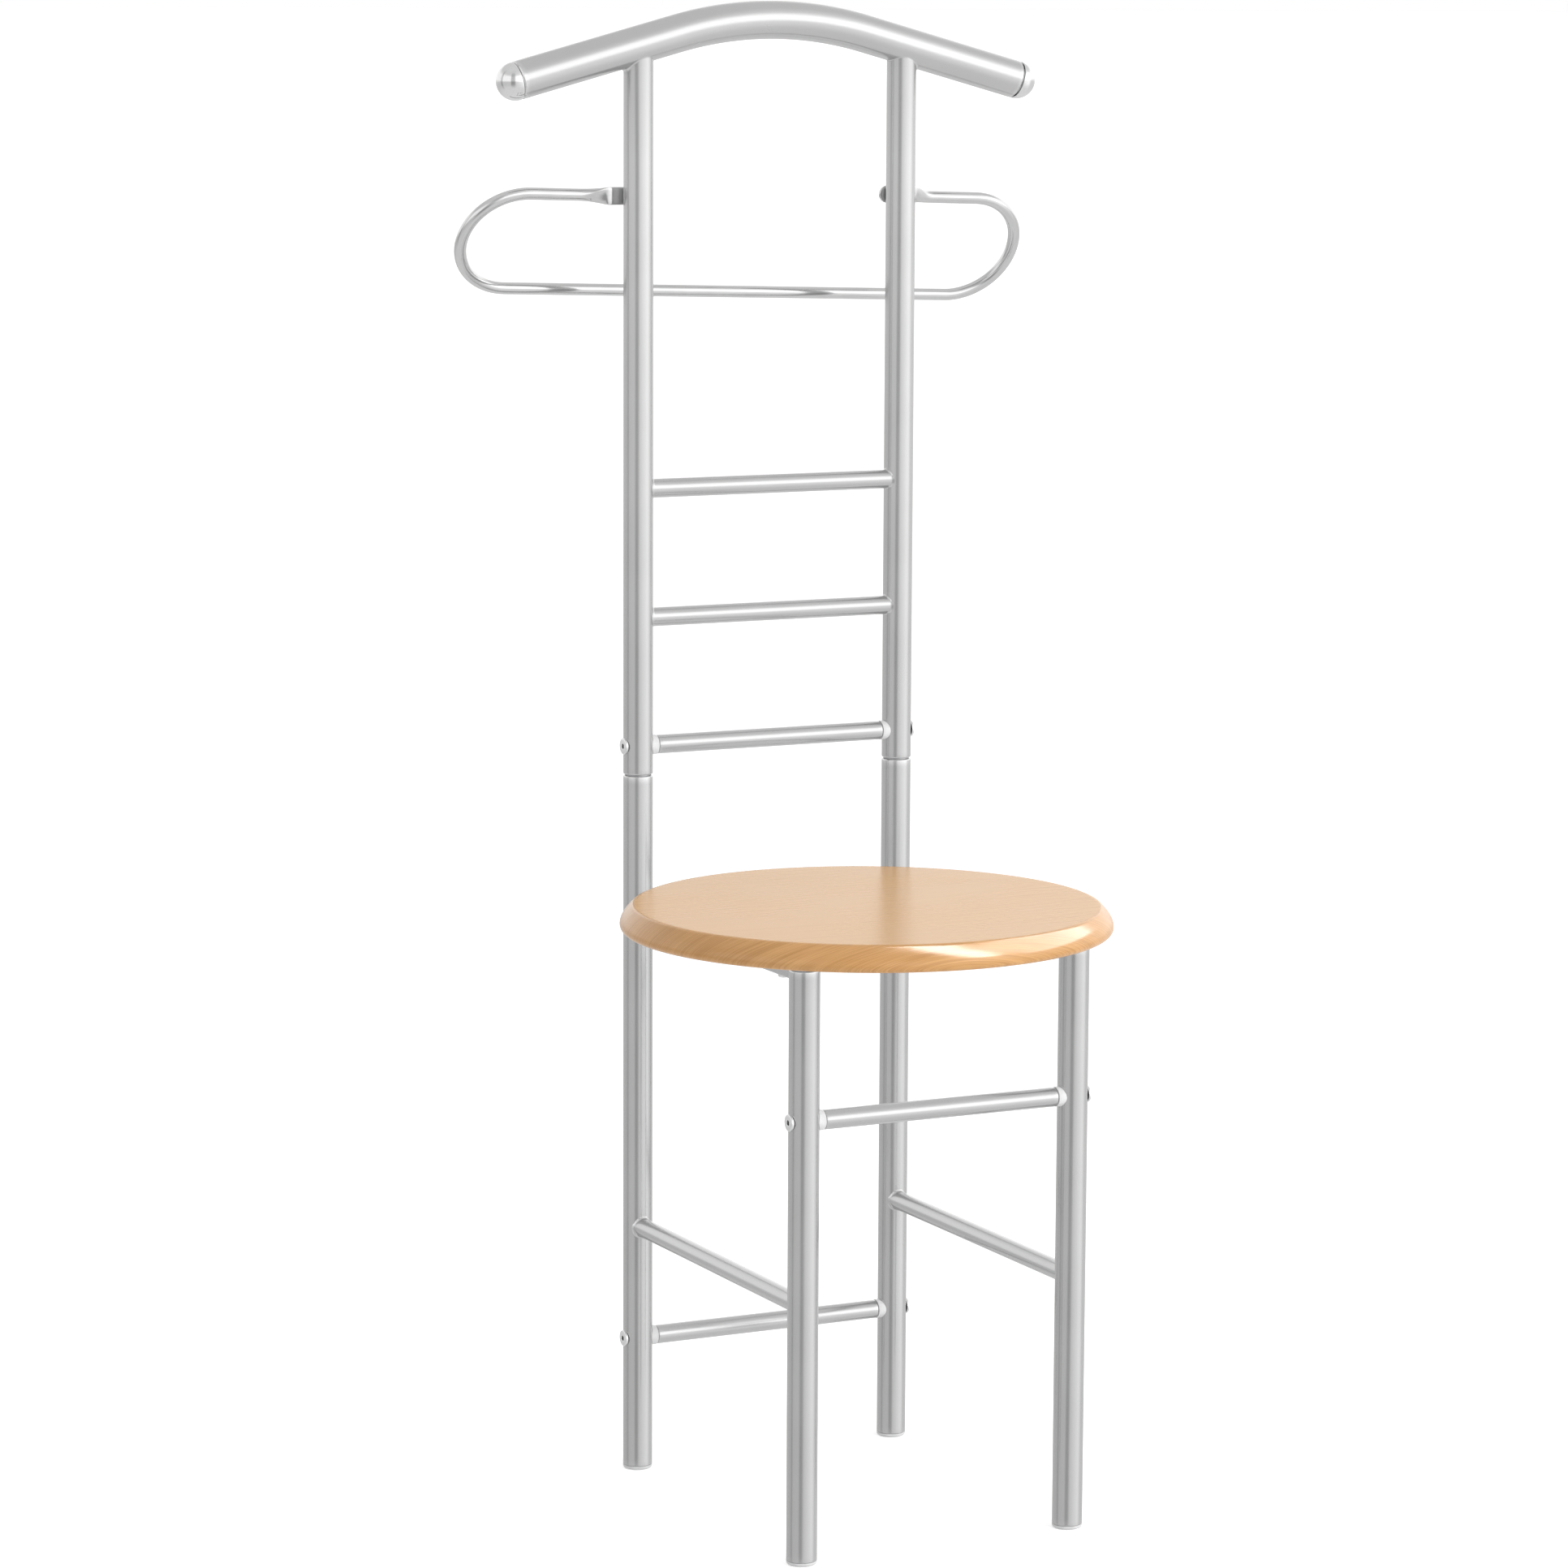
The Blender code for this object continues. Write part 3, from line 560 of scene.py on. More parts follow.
def turned_screw(node_name, profile, where):
    """A screw whose profile ends in its socket, which is coloured near-black as painted shade."""
    name, socket = f"{node_name}_head", len(profile) - SOCKET_POINTS
    turned(name, profile, where, [ZINC, SOCKET_SHADE], [node_name], SMALL_SIDES, second_from=socket)


def arc(middle, radius, start, end, steps):
    """Points (radius, along) of an arc, its angles in degrees, both ends included."""
    angles = [math.radians(start + (end - start) * k / steps) for k in range(steps + 1)]
    return [(middle[0] + radius * math.cos(a), middle[1] + radius * math.sin(a)) for a in angles]


def tube_profile(radius, wall, low, high, low_round, high_round):
    """A tube's wall in section, its outer edges rounded, with rings held close to the ends."""
    hold = 4 * max(low_round, high_round)
    profile = arc((radius - low_round, low + low_round), low_round, -90, 0, 4)
    profile += [(radius, low + low_round + hold), (radius, (low + high) / 2)]
    profile += [(radius, high - high_round - hold)]
    profile += arc((radius - high_round, high - high_round), high_round, 0, 90, 4)
    profile += [(radius - wall, high), (radius - wall, low)]
    return profile


# ---------------------------------------------------------------- shoulder bar


def hanger_height(x):
    """The bar's centre line at x: its height and its slope."""
    reach = ARCH_RADIUS * math.sin(ARM_SLOPE)
    if abs(x) <= reach:
        lean = math.asin(x / ARCH_RADIUS)
        return HANGER_PEAK_Z - ARCH_RADIUS * (1 - math.cos(lean)), lean
    drop = ARCH_RADIUS * (1 - math.cos(ARM_SLOPE)) + (abs(x) - reach) * math.tan(ARM_SLOPE)
    return HANGER_PEAK_Z - drop, math.copysign(ARM_SLOPE, x)


HANGER_HALF_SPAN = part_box("hanger_bar")[1].x - HANGER_R * math.sin(ARM_SLOPE)
CAP_ROUND = 0.0003
CAP_RIM = 0.0012
CAP_GROOVE = 0.0008  # the open line between a bar's end and its cap
CAP_SPIGOT = 0.012


def make_hanger_bar():
    reach = ARCH_RADIUS * math.sin(ARM_SLOPE)
    steps = 48
    arch = [ARCH_RADIUS * math.sin(ARM_SLOPE * (2 * k / steps - 1)) for k in range(steps + 1)]
    outer_xs = [-HANGER_HALF_SPAN, -HANGER_HALF_SPAN + 5 * RUNG_END_ROUND]
    outer_xs.append(-(HANGER_HALF_SPAN + reach) / 2)
    xs = outer_xs + arch + [-x for x in outer_xs[::-1]]
    rows = [(x, HANGER_R) for x in xs]
    rows[0] = (xs[0], HANGER_R - RUNG_END_ROUND)
    rows.insert(1, (xs[0] + RUNG_END_ROUND, HANGER_R))
    rows[-1] = (xs[-1], HANGER_R - RUNG_END_ROUND)
    rows.insert(-1, (xs[-1] - RUNG_END_ROUND, HANGER_R))
    rows += [(x, HANGER_R - TUBE_WALL) for x in xs[::-1]]
    rings, stock = [], []
    for x, radius in rows:
        height, lean = hanger_height(x)
        up = Vector((math.sin(lean), 0.0, math.cos(lean)))
        middle = Vector((x, BACK_Y, height))
        flat = round_ring(radius, x / math.cos(ARM_SLOPE), TUBE_SIDES)
        stock.append(flat)
        rings.append([middle + up * p.x + Vector((0, 1, 0)) * p.y for p in flat])
    skin("hanger_bar_tube", rings, stock, [LACQUER], ["hanger_bar"], loop=True)


def make_hanger_caps():
    """Domes with a short straight rim, seated on the bar's ends."""
    spigot = HANGER_R - TUBE_WALL - CAP_ROUND
    dome = GAP + CAP_RIM
    profile = [(0.0, -CAP_SPIGOT), (spigot, -CAP_SPIGOT), (spigot, CAP_GROOVE)]
    profile += arc((HANGER_R - CAP_ROUND, CAP_GROOVE + CAP_ROUND), CAP_ROUND, -90, 0, 4)
    profile += arc((0.0, dome), HANGER_R, 0, 90, 28)[1:-1]
    profile.append((0.0, dome + HANGER_R))
    for side, sign in SIDES.items():
        height, lean = hanger_height(sign * HANGER_HALF_SPAN)
        outward = (sign * math.cos(lean), 0.0, -abs(math.sin(lean)))
        where = standing((sign * HANGER_HALF_SPAN, BACK_Y, height), outward)
        turned(f"hanger_cap_{side}_dome", profile, where, [CAP_CHROME], [f"hanger_cap_{side}"])


# ---------------------------------------------------------------- uprights and legs


def make_upper_uprights():
    """Tubes whose tops are cut to the shoulder bar, with a weld that is heaviest outside."""
    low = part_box("upper_upright_left")[0].z

    for side, sign in SIDES.items():

        def under_bar(x_off, y_off, sign=sign):
            height, lean = hanger_height(sign * LEG_X + x_off)
            return height - math.sqrt(HANGER_R**2 - y_off**2) / math.cos(lean)

        def weld_leg(a, sign=sign):
            least, more = BAR_WELD
            return least + more * max(0.0, sign * math.cos(a)) ** 4

        def weld_ring(u, sign=sign, under_bar=under_bar, weld_leg=weld_leg):
            """One ring of the concave weld, from the bar (u = 0) down to the upright (u = 1)."""

            def radius(a):
                return TUBE_R + weld_leg(a) * (1 - u) ** 2

            def along(a):
                wide = TUBE_R + weld_leg(a)
                on_bar = under_bar(wide * math.cos(a), wide * math.sin(a)) + SINK
                corner = under_bar(TUBE_R * math.cos(a), TUBE_R * math.sin(a))
                on_tube = corner - weld_leg(a)
                return (1 - u) ** 2 * on_bar + 2 * u * (1 - u) * corner + u**2 * on_tube - low

            return radius, along

        bottom = arc((TUBE_R - END_ROUND, END_ROUND), END_ROUND, -90, 0, 4)
        bore = TUBE_R - TUBE_WALL
        profile = [(bore, 0.0)] + bottom
        profile += [(TUBE_R, 0.004), (TUBE_R, 0.25), (TUBE_R, 0.45)]
        profile += [weld_ring(1 - k / WELD_STEPS) for k in range(WELD_STEPS + 1)]
        profile.append((bore, lambda a, f=under_bar: f(bore * math.cos(a), bore * math.sin(a)) - low))
        where = Matrix.Translation((sign * LEG_X, BACK_Y, low))
        node_name = f"upper_upright_{side}"
        turned(f"{node_name}_tube", profile, where, [LACQUER], [node_name], loop=True)


def make_legs():
    for node_name in ("back_leg_left", "back_leg_right", "front_leg_left", "front_leg_right"):
        low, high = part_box(node_name)
        profile = tube_profile(TUBE_R, TUBE_WALL, 0.0, high.z - low.z, CUT_ROUND, END_ROUND)
        middle = (low + high) / 2
        where = Matrix.Translation((middle.x, middle.y, low.z))
        turned(f"{node_name}_tube", profile, where, [LACQUER], [node_name], loop=True)


PLUG_R = TUBE_R - TUBE_WALL - GAP
PLUG_CHAMFER = 0.0008
FOOT_PLUG_TOP = 0.0208
FOOT_ROUND = 0.0022
FLANGE = 0.0012


def make_foot_plugs():
    """Plastic feet: a round-edged pad, a thin flange under the tube and a plug inside it."""
    pad = FOOT_TOP_Z - GAP
    profile = [(0.0, 0.0), (TUBE_R - FOOT_ROUND - CUT_ROUND, 0.0)]
    profile += arc((TUBE_R - FOOT_ROUND, FOOT_ROUND), FOOT_ROUND, -90, 0, 8)[1:]
    profile += [(TUBE_R, pad - CUT_ROUND), (TUBE_R - CUT_ROUND, pad), (PLUG_R, pad)]
    profile += [(PLUG_R, FOOT_PLUG_TOP - PLUG_CHAMFER), (PLUG_R - PLUG_CHAMFER, FOOT_PLUG_TOP)]
    profile.append((0.0, FOOT_PLUG_TOP))
    for end, y in LEGS.items():
        for side, sign in SIDES.items():
            node_name = f"foot_plug_{end}_{side}"
            where = Matrix.Translation((sign * LEG_X, y, 0.0))
            turned(f"{node_name}_pad", profile, where, [PLASTIC], [node_name])


def make_leg_top_plugs():
    for side, sign in SIDES.items():
        node_name = f"leg_top_plug_{side}"
        low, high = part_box(node_name)
        height = high.z - low.z
        flange = height - FLANGE
        edge = 0.0003
        profile = [(0.0, 0.0), (PLUG_R - PLUG_CHAMFER, 0.0), (PLUG_R, PLUG_CHAMFER)]
        profile += [(PLUG_R, flange), (TUBE_R - edge, flange), (TUBE_R, flange + edge)]
        profile += [(TUBE_R, height - edge), (TUBE_R - edge, height), (0.0, height)]
        where = Matrix.Translation((sign * LEG_X, FRONT_Y, low.z))
        turned(f"{node_name}_disc", profile, where, [PLASTIC], [node_name])


# ---------------------------------------------------------------- rungs and stretchers


def saddle(across):
    """How far a leg's surface stands from its own axis, at a distance across it."""
    return math.sqrt(TUBE_R**2 - across**2)


def welded_tube(node_name, half_span, place, weld):
    """A tube cut to the legs at both ends, each end blended in by a concave weld.

    place puts a point (across, up, along), measured from the tube's middle, into the stand.
    """
    reach, wave = weld

    def weld_leg(a, phase):
        return reach * (1 + wave * math.sin(3 * a + phase) + wave / 2 * math.sin(7 * a - 2 * phase))

    def weld_ring(u, sign):
        def radius(a):
            return RUNG_R + weld_leg(a, sign) * (1 - u) ** 2

        def along(a):
            leg = weld_leg(a, sign)
            on_leg = saddle((RUNG_R + leg) * math.sin(a)) - SINK
            corner = saddle(RUNG_R * math.sin(a))
            run = (1 - u) ** 2 * on_leg + 2 * u * (1 - u) * corner + u**2 * (corner + leg)
            return sign * (half_span - run)

        return radius, along

    bore = RUNG_R - RUNG_WALL
    profile = [weld_ring(k / WELD_STEPS, -1) for k in range(WELD_STEPS + 1)]
    profile += [(RUNG_R, share * half_span) for share in (-0.8, -0.3, 0.3, 0.8)]
    profile += [weld_ring(1 - k / WELD_STEPS, 1) for k in range(WELD_STEPS + 1)]
    profile += [(bore, half_span - TUBE_R), (bore, TUBE_R - half_span)]
    stock = [round_ring(radius, along, TUBE_SIDES) for radius, along in profile]
    rings = [[place(p.y, p.x, p.z) for p in ring] for ring in stock]
    skin(f"{node_name}_tube", rings, stock, [LACQUER], [node_name], loop=True)


def make_welded_rungs():
    for node_name in ("upper_rung", "middle_rung"):
        z = centre(node_name).z

        def place(across, up, along, z=z):
            return Vector((along, BACK_Y + across, z + up))

        welded_tube(node_name, LEG_X, place, RUNG_WELD)


def make_side_stretchers():
    middle = (FRONT_Y + BACK_Y) / 2
    for side, sign in SIDES.items():
        node_name = f"side_stretcher_{side}"
        z = centre(node_name).z

        def place(across, up, along, x=sign * LEG_X, z=z):
            return Vector((x - across, middle + along, z + up))

        welded_tube(node_name, (BACK_Y - FRONT_Y) / 2, place, STRETCHER_WELD)


COLLAR_FACE = 0.0034  # how far a collar stands off the leg
COLLAR_ROUND = 0.0004
SCREW_HOLE_R = 0.0034  # in the collars and inserts


def make_screwed_rungs():
    """Rungs held by a screw at each end, with a plastic collar between rung and leg."""
    for node_name, y in SCREWED_RUNGS.items():
        low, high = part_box(node_name)
        z = (low.z + high.z) / 2
        profile = tube_profile(RUNG_R, RUNG_WALL, 0.0, high.x - low.x, RUNG_END_ROUND, RUNG_END_ROUND)
        where = standing((low.x, y, z), (1.0, 0.0, 0.0))
        turned(f"{node_name}_tube", profile, where, [LACQUER], [node_name], loop=True)
        for side, sign in SIDES.items():
            make_collar(f"{node_name}_collar_{side}", sign, y, z)
            make_frame_screw(f"{node_name}_screw_{side}", sign, y, z)


def make_collar(node_name, sign, y, z):
    """A plastic ring, hollowed to the leg on one side and flat on the other."""
    radius = extent(node_name).z / 2
    face = TUBE_R + COLLAR_FACE

    def against_leg(r):
        return lambda a: saddle(r * math.sin(a)) + SINK

    profile = [(r, against_leg(r)) for r in (radius - 0.0003, radius)]
    profile += arc((radius - COLLAR_ROUND, face - COLLAR_ROUND), COLLAR_ROUND, 0, 90, 4)
    profile += [(SCREW_HOLE_R, face), (SCREW_HOLE_R, against_leg(SCREW_HOLE_R))]
    stock = [round_ring(r, along, SMALL_SIDES) for r, along in profile]
    rings = []
    for ring in stock:
        rings.append([Vector((sign * (LEG_X - p.z), y + p.y, z + p.x)) for p in ring])
    skin(f"{node_name}_ring", rings, stock, [PLASTIC], [node_name], loop=True)


def hexagon(flats):
    """The radius of a hexagon at an angle, from its size across the flats."""
    return lambda a: flats / 2 / math.cos((a % (math.pi / 3)) - math.pi / 6)


def socket_head(head_r, height, rim_round, socket, crown):
    """A screw head's profile with a hexagon socket, from its underside to the socket's floor."""
    flats, depth = socket
    profile = [(head_r - 0.0002, 0.0), (head_r, 0.0002)]
    profile += arc((head_r - rim_round, height - rim_round - crown), rim_round, 0, 80, 6)
    profile += [(head_r * 0.62, height - crown * 0.3), (hexagon(flats * 1.09), height)]
    profile += [(hexagon(flats), height - 0.0002), (hexagon(flats), height - depth)]
    profile += [(hexagon(flats * 0.4), height - depth * 1.35), (0.0, height - depth * 1.5)]
    return profile


SOCKET_POINTS = 4  # how many of a head profile's last points lie in its socket
SCREW_HEAD_R = 0.0061
SCREW_HEAD_HEIGHT = 0.0020
SCREW_SHANK_R = 0.003
SCREW_SOCKET = (0.0036, 0.0026)  # size across the flats, and depth
BUTTON_SOCKET = (0.0025, 0.0012)
SMALL_SHANK_R = 0.002


def make_frame_screw(node_name, sign, y, z):
    """A flat-headed machine screw with a hexagon socket."""
    outer = max(abs(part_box(node_name)[0].x), abs(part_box(node_name)[1].x))
    length = extent(node_name).x - SCREW_HEAD_HEIGHT
    profile = [(0.0, -length), (SCREW_SHANK_R - 0.0005, -length), (SCREW_SHANK_R, 0.0005 - length)]
    profile += [(SCREW_SHANK_R, 0.0)]
    profile += socket_head(SCREW_HEAD_R, SCREW_HEAD_HEIGHT, 0.0006, SCREW_SOCKET, 0.0001)
    where = standing((sign * (outer - SCREW_HEAD_HEIGHT), y, z), (sign, 0.0, 0.0))
    turned_screw(node_name, profile, where)


# ---------------------------------------------------------------- trouser bar

ROD_R = 0.0045
LOOP_DROP = 0.0740
UPPER_SETBACK = 0.0217
TAB_SCREW_HEIGHT = 0.0024
TAB_R = 0.0065
TAB_THICKNESS = 0.0025
TAB_OVERHANG = 0.0113
TAB_REACH = 0.0183
FLARE_LENGTH = 0.0195
BAR_SLOPE = math.tan(math.radians(1.87))
ARM_SAG = {"left": -0.0008, "right": 0.0027}  # from a tab's line down to its arm's
TAB_LEVEL = (TAB_Z["left"] + TAB_Z["right"]) / 2
TAB_SLOPE = (TAB_Z["left"] - TAB_Z["right"]) / (2 * LEG_X)
TAB_STEPS, FLARE_STEPS, LOOP_STEPS = 12, 16, 40
BAR_HALF_WIDTH = extent("trouser_bar").x / 2
RAIL_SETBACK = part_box("trouser_bar")[1].y - ROD_R - BACK_Y


def flare(x):
    """How much of the tab is left in the rod's section at x: 1 on the tab, 0 past the flare."""
    run = (abs(x) - LEG_X - TAB_REACH) / FLARE_LENGTH
    return (1.0 - min(1.0, max(0.0, run))) ** 2


def bar_point(x, down):
    """A point of the bar's centre line, from the upper line (down = 0) to the rail (1)."""
    side = "right" if x > 0 else "left"
    arm_start = math.copysign(LEG_X + TAB_REACH + FLARE_LENGTH, x)
    tab_line = TAB_LEVEL - TAB_SLOPE * x
    arm_line = TAB_LEVEL - TAB_SLOPE * arm_start - ARM_SAG[side] - BAR_SLOPE * (x - arm_start)
    upper_z = arm_line + (tab_line - arm_line) * flare(x)
    rail_z = TAB_LEVEL - LOOP_DROP - BAR_SLOPE * x
    tab_setback = TUBE_R + GAP + TAB_THICKNESS / 2
    upper = UPPER_SETBACK + (tab_setback - UPPER_SETBACK) * flare(x)
    setback = upper + (RAIL_SETBACK - upper) * down
    return Vector((x, BACK_Y + setback, upper_z + (rail_z - upper_z) * down))


def bar_half():
    """The right half of the bar, from its tab round the loop: (x, down, half height, half depth)."""
    bend = math.hypot(LOOP_DROP, RAIL_SETBACK - UPPER_SETBACK) / 2
    turn_x = BAR_HALF_WIDTH - ROD_R - bend
    tab_end = LEG_X - TAB_OVERHANG
    half = TAB_THICKNESS / 2
    rows = []
    for k in range(1, TAB_STEPS + 1):
        run = TAB_R * (1 - math.cos(math.pi / 2 * k / TAB_STEPS))
        rows.append((tab_end + run, 0, math.sqrt(TAB_R**2 - (TAB_R - run) ** 2), half))
    rows.append((LEG_X + TAB_REACH - 0.003, 0, TAB_R, half))
    rows.append((LEG_X + TAB_REACH - 0.0005, 0, TAB_R, half))
    for k in range(FLARE_STEPS + 1):
        x = LEG_X + TAB_REACH + FLARE_LENGTH * k / FLARE_STEPS
        pressed = flare(x)
        rows.append((x, 0, ROD_R + (TAB_R - ROD_R) * pressed, ROD_R + (half - ROD_R) * pressed))
    rows.append((turn_x - 0.004, 0, ROD_R, ROD_R))
    for k in range(LOOP_STEPS + 1):
        a = math.pi * k / LOOP_STEPS
        rows.append((turn_x + bend * math.sin(a), (1 - math.cos(a)) / 2, ROD_R, ROD_R))
    for x in (0.16, 0.12, 0.08, 0.04):
        rows.append((x, 1, ROD_R, ROD_R))
    return rows


def make_trouser_bar():
    right = bar_half()
    left = [(-x, down, tall, deep) for x, down, tall, deep in right]
    rows = left + [(0.0, 1, ROD_R, ROD_R)] + right[::-1]
    points = [bar_point(x, down) for x, down, _, _ in rows]
    across = Vector((0, 1, 0))
    tilted = Vector((0, LOOP_DROP, RAIL_SETBACK - UPPER_SETBACK)).normalized()
    rings, stock, run = [], [], 0.0
    for i, (x, down, tall, deep) in enumerate(rows):
        before, after = points[max(i - 1, 0)], points[min(i + 1, len(rows) - 1)]
        run += (points[i] - before).length
        along = (after - before).normalized()
        flatness = flare(x) if down == 0 else 0.0
        reference = tilted.lerp(across, flatness)
        second = (reference - along * reference.dot(along)).normalized()
        first = second.cross(along)
        power = 1.0 - 0.72 * flatness
        ring, flat = [], []
        for p in round_ring(1.0, run, SMALL_SIDES):
            a = tall * math.copysign(abs(p.x) ** power, p.x)
            b = deep * math.copysign(abs(p.y) ** power, p.y)
            ring.append(points[i] + first * a + second * b)
            flat.append(Vector((a, b, run)))
        rings.append(ring)
        stock.append(flat)
    skin("trouser_bar_rod", rings, stock, [ROD_CHROME], ["trouser_bar"])


def make_tab_screws():
    """Button-headed screws through the tabs, into the backs of the uprights."""
    for side, sign in SIDES.items():
        node_name = f"tab_screw_{side}"
        low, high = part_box(node_name)
        height = TAB_SCREW_HEIGHT
        head_r = (high.z - low.z) / 2
        length = high.y - low.y - height
        profile = [(0.0, -length), (SMALL_SHANK_R - 0.0004, -length)]
        profile += [(SMALL_SHANK_R, 0.0004 - length), (SMALL_SHANK_R, 0.0)]
        profile += socket_head(head_r, height, 0.0016, BUTTON_SOCKET, 0.0)
        where = standing((sign * LEG_X, high.y - height, TAB_Z[side]), (0.0, 1.0, 0.0))
        turned_screw(node_name, profile, where)


# ---------------------------------------------------------------- seat

RIM_INSET = 0.0087
RIM_DROP = 0.0142
CREASE_ROUND = 0.0009
RIM_STEPS = 20
SEAT_SIDES = 288
RAIL_CORNER = 0.0014
SEAT_SCREW_HEIGHT = 0.0022


def make_seat():
    """A flat top, a soft crease, a bulging rim and a rounded lower edge."""
    top = SEAT_THICKNESS
    crease_r = SEAT_R - RIM_INSET
    widest = top - RIM_DROP
    profile = [(0.0, top)]
    profile += [(crease_r * k / 6, top) for k in range(1, 6)]
    profile += [(crease_r - 0.003, top), (crease_r - CREASE_ROUND, top)]
    first_rim = len(profile)
    for k in range(1, RIM_STEPS):
        t = k / RIM_STEPS
        profile.append((crease_r + RIM_INSET * math.sin(math.pi / 2 * t), top - RIM_DROP * t))
    profile += arc((SEAT_R - widest, widest), widest, 0, -90, 10)
    profile += [(SEAT_R - 0.012, 0.0), (SEAT_R * 0.6, 0.0), (0.0, 0.0)]
    stock = [round_ring(radius, along, SEAT_SIDES) for radius, along in profile]
    seat_place = Vector((SEAT_CENTRE.x, SEAT_CENTRE.y, SEAT_BOTTOM_Z))
    rings = [[seat_place + p for p in ring] for ring in stock]
    board = skin(
        "seat_board", rings, stock, [BEECH_TOP, BEECH_RIM], ["seat"], second_from=first_rim - 1
    )
    board.visible_glossy = False  # keeps its colour off the bright metal and plastic round it
    board.visible_diffuse = False
    return board


def rounded_rectangle(width, height, corner, steps=6):
    points = []
    for k, (a, b) in enumerate(((1, 1), (-1, 1), (-1, -1), (1, -1))):
        middle = (a * (width / 2 - corner), b * (height / 2 - corner))
        points += arc(middle, corner, 90 * k, 90 * k + 90, steps)
    return points


def make_seat_rails():
    """Rectangular tubes under the board, cut to the legs at both ends."""
    wall = RUNG_WALL
    outer = rounded_rectangle(RAIL_SIZE.x, RAIL_SIZE.z, RAIL_CORNER)
    inner = rounded_rectangle(RAIL_SIZE.x - 2 * wall, RAIL_SIZE.z - 2 * wall, 0.0004)
    for side, sign in SIDES.items():
        node_name = f"seat_rail_{side}"
        z = centre(node_name).z
        rings, stock = [], []
        for section, shares in ((outer, (0.0, 0.02, 0.98, 1.0)), (inner, (1.0, 0.0))):
            for share in shares:
                ring = []
                for a, b in section:
                    near = FRONT_Y + saddle(a) + SINK
                    far = BACK_Y - saddle(a) - SINK
                    ring.append(Vector((a, b, near + (far - near) * share)))
                stock.append(ring)
                rings.append([Vector((sign * LEG_X + p.x, p.z, z + p.y)) for p in ring])
        skin(f"{node_name}_tube", rings, stock, [LACQUER], [node_name], loop=True)
        for end in ("front", "back"):
            make_seat_screw(f"seat_screw_{end}_{side}")


def make_seat_screw(node_name):
    """A wood screw up through a rail, its domed head underneath."""
    low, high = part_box(node_name)
    middle = (low + high) / 2
    head_r = (high.x - low.x) / 2
    height = SEAT_SCREW_HEIGHT
    length = high.z - low.z - height
    profile = [(0.0, -length), (SMALL_SHANK_R, 2 * SMALL_SHANK_R - length), (SMALL_SHANK_R, 0.0)]
    profile += socket_head(head_r, height, 0.0014, BUTTON_SOCKET, 0.0)
    where = standing((middle.x, middle.y, low.z + height), (0.0, 0.0, -1.0))
    turned_screw(node_name, profile, where)


# ---------------------------------------------------------------- hidden steel

STEEL_ROUND = 0.0004


def make_inner_steel():
    """Sleeves in the uprights' joints and threaded inserts in the screwed rungs."""
    for side, sign in SIDES.items():
        node_name = f"joint_sleeve_{side}"
        low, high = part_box(node_name)
        profile = tube_profile(PLUG_R, TUBE_WALL, 0.0, high.z - low.z, STEEL_ROUND, STEEL_ROUND)
        where = Matrix.Translation((sign * LEG_X, BACK_Y, low.z))
        turned(f"{node_name}_steel", profile, where, [STEEL], [node_name], SMALL_SIDES, loop=True)
        for rung, y in SCREWED_RUNGS.items():
            node_name = f"{rung}_insert_{side}"
            low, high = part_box(node_name)
            radius = (high.z - low.z) / 2
            length, wall = high.x - low.x, radius - SCREW_HOLE_R
            profile = tube_profile(radius, wall, 0.0, length, STEEL_ROUND, STEEL_ROUND)
            where = standing((low.x, y, (low.z + high.z) / 2), (1.0, 0.0, 0.0))
            turned(f"{node_name}_steel", profile, where, [STEEL], [node_name], SMALL_SIDES, loop=True)


# ---------------------------------------------------------------- room, lights and camera

CAMERA_PLACE = Vector((-1.7380, BACK_Y - 3.53695, 1.0963))
CAMERA_TURN = math.radians(-26.337)  # round Z, from straight in front
CAMERA_TILT = math.radians(8.411)  # downwards
CAMERA_ROLL = 0.00474
SENSOR = 36.0
LENS = 122.20


def make_camera():
    data = bpy.data.cameras.new("camera")
    data.sensor_width = SENSOR
    data.lens = LENS
    data.clip_end = 2000.0
    camera = bpy.data.objects.new("camera", data)
    bpy.context.scene.collection.objects.link(camera)
    turn, tilt = CAMERA_TURN, CAMERA_TILT
    back = Vector((math.sin(turn) * math.cos(tilt), -math.cos(turn) * math.cos(tilt), math.sin(tilt)))
    right = Vector((math.cos(turn), math.sin(turn), 0.0))
    up = back.cross(right)
    rolled_right = right * math.cos(CAMERA_ROLL) + up * math.sin(CAMERA_ROLL)
    rolled_up = up * math.cos(CAMERA_ROLL) - right * math.sin(CAMERA_ROLL)
    turned_to = Matrix((rolled_right, rolled_up, back)).transposed().to_4x4()
    camera.matrix_world = Matrix.Translation(CAMERA_PLACE) @ turned_to
    bpy.context.scene.camera = camera


# The grey room that the metal mirrors: (degrees right of the camera's side, brightness)
ROOM_PANELS = (
    (-180, 0.80),
    (-92, 0.76),
    (-88, 0.50),
    (-79, 0.50),
    (-75, 0.82),
    (-24, 0.84),
    (-19, 0.46),
    (-1, 0.46),
    (10, 0.98),
    (50, 1.30),
    (78, 1.50),
    (92, 1.30),
    (104, 0.97),
    (179, 0.88),
)
CEILING = 0.86
UNDERSIDE = 0.92  # what the lower sides of rungs mirror
STRIP = 0.60  # how much brighter a level strip above eye height is, for the rungs' bright lines
LOW_ROOM = 0.92  # how much of its brightness the room keeps towards the floor
AMBIENT = {"left": 0.50, "right": 0.54, "overhead": 0.90, "below": 0.55}  # the soft light itself
PAPER_WHITE = 1.0
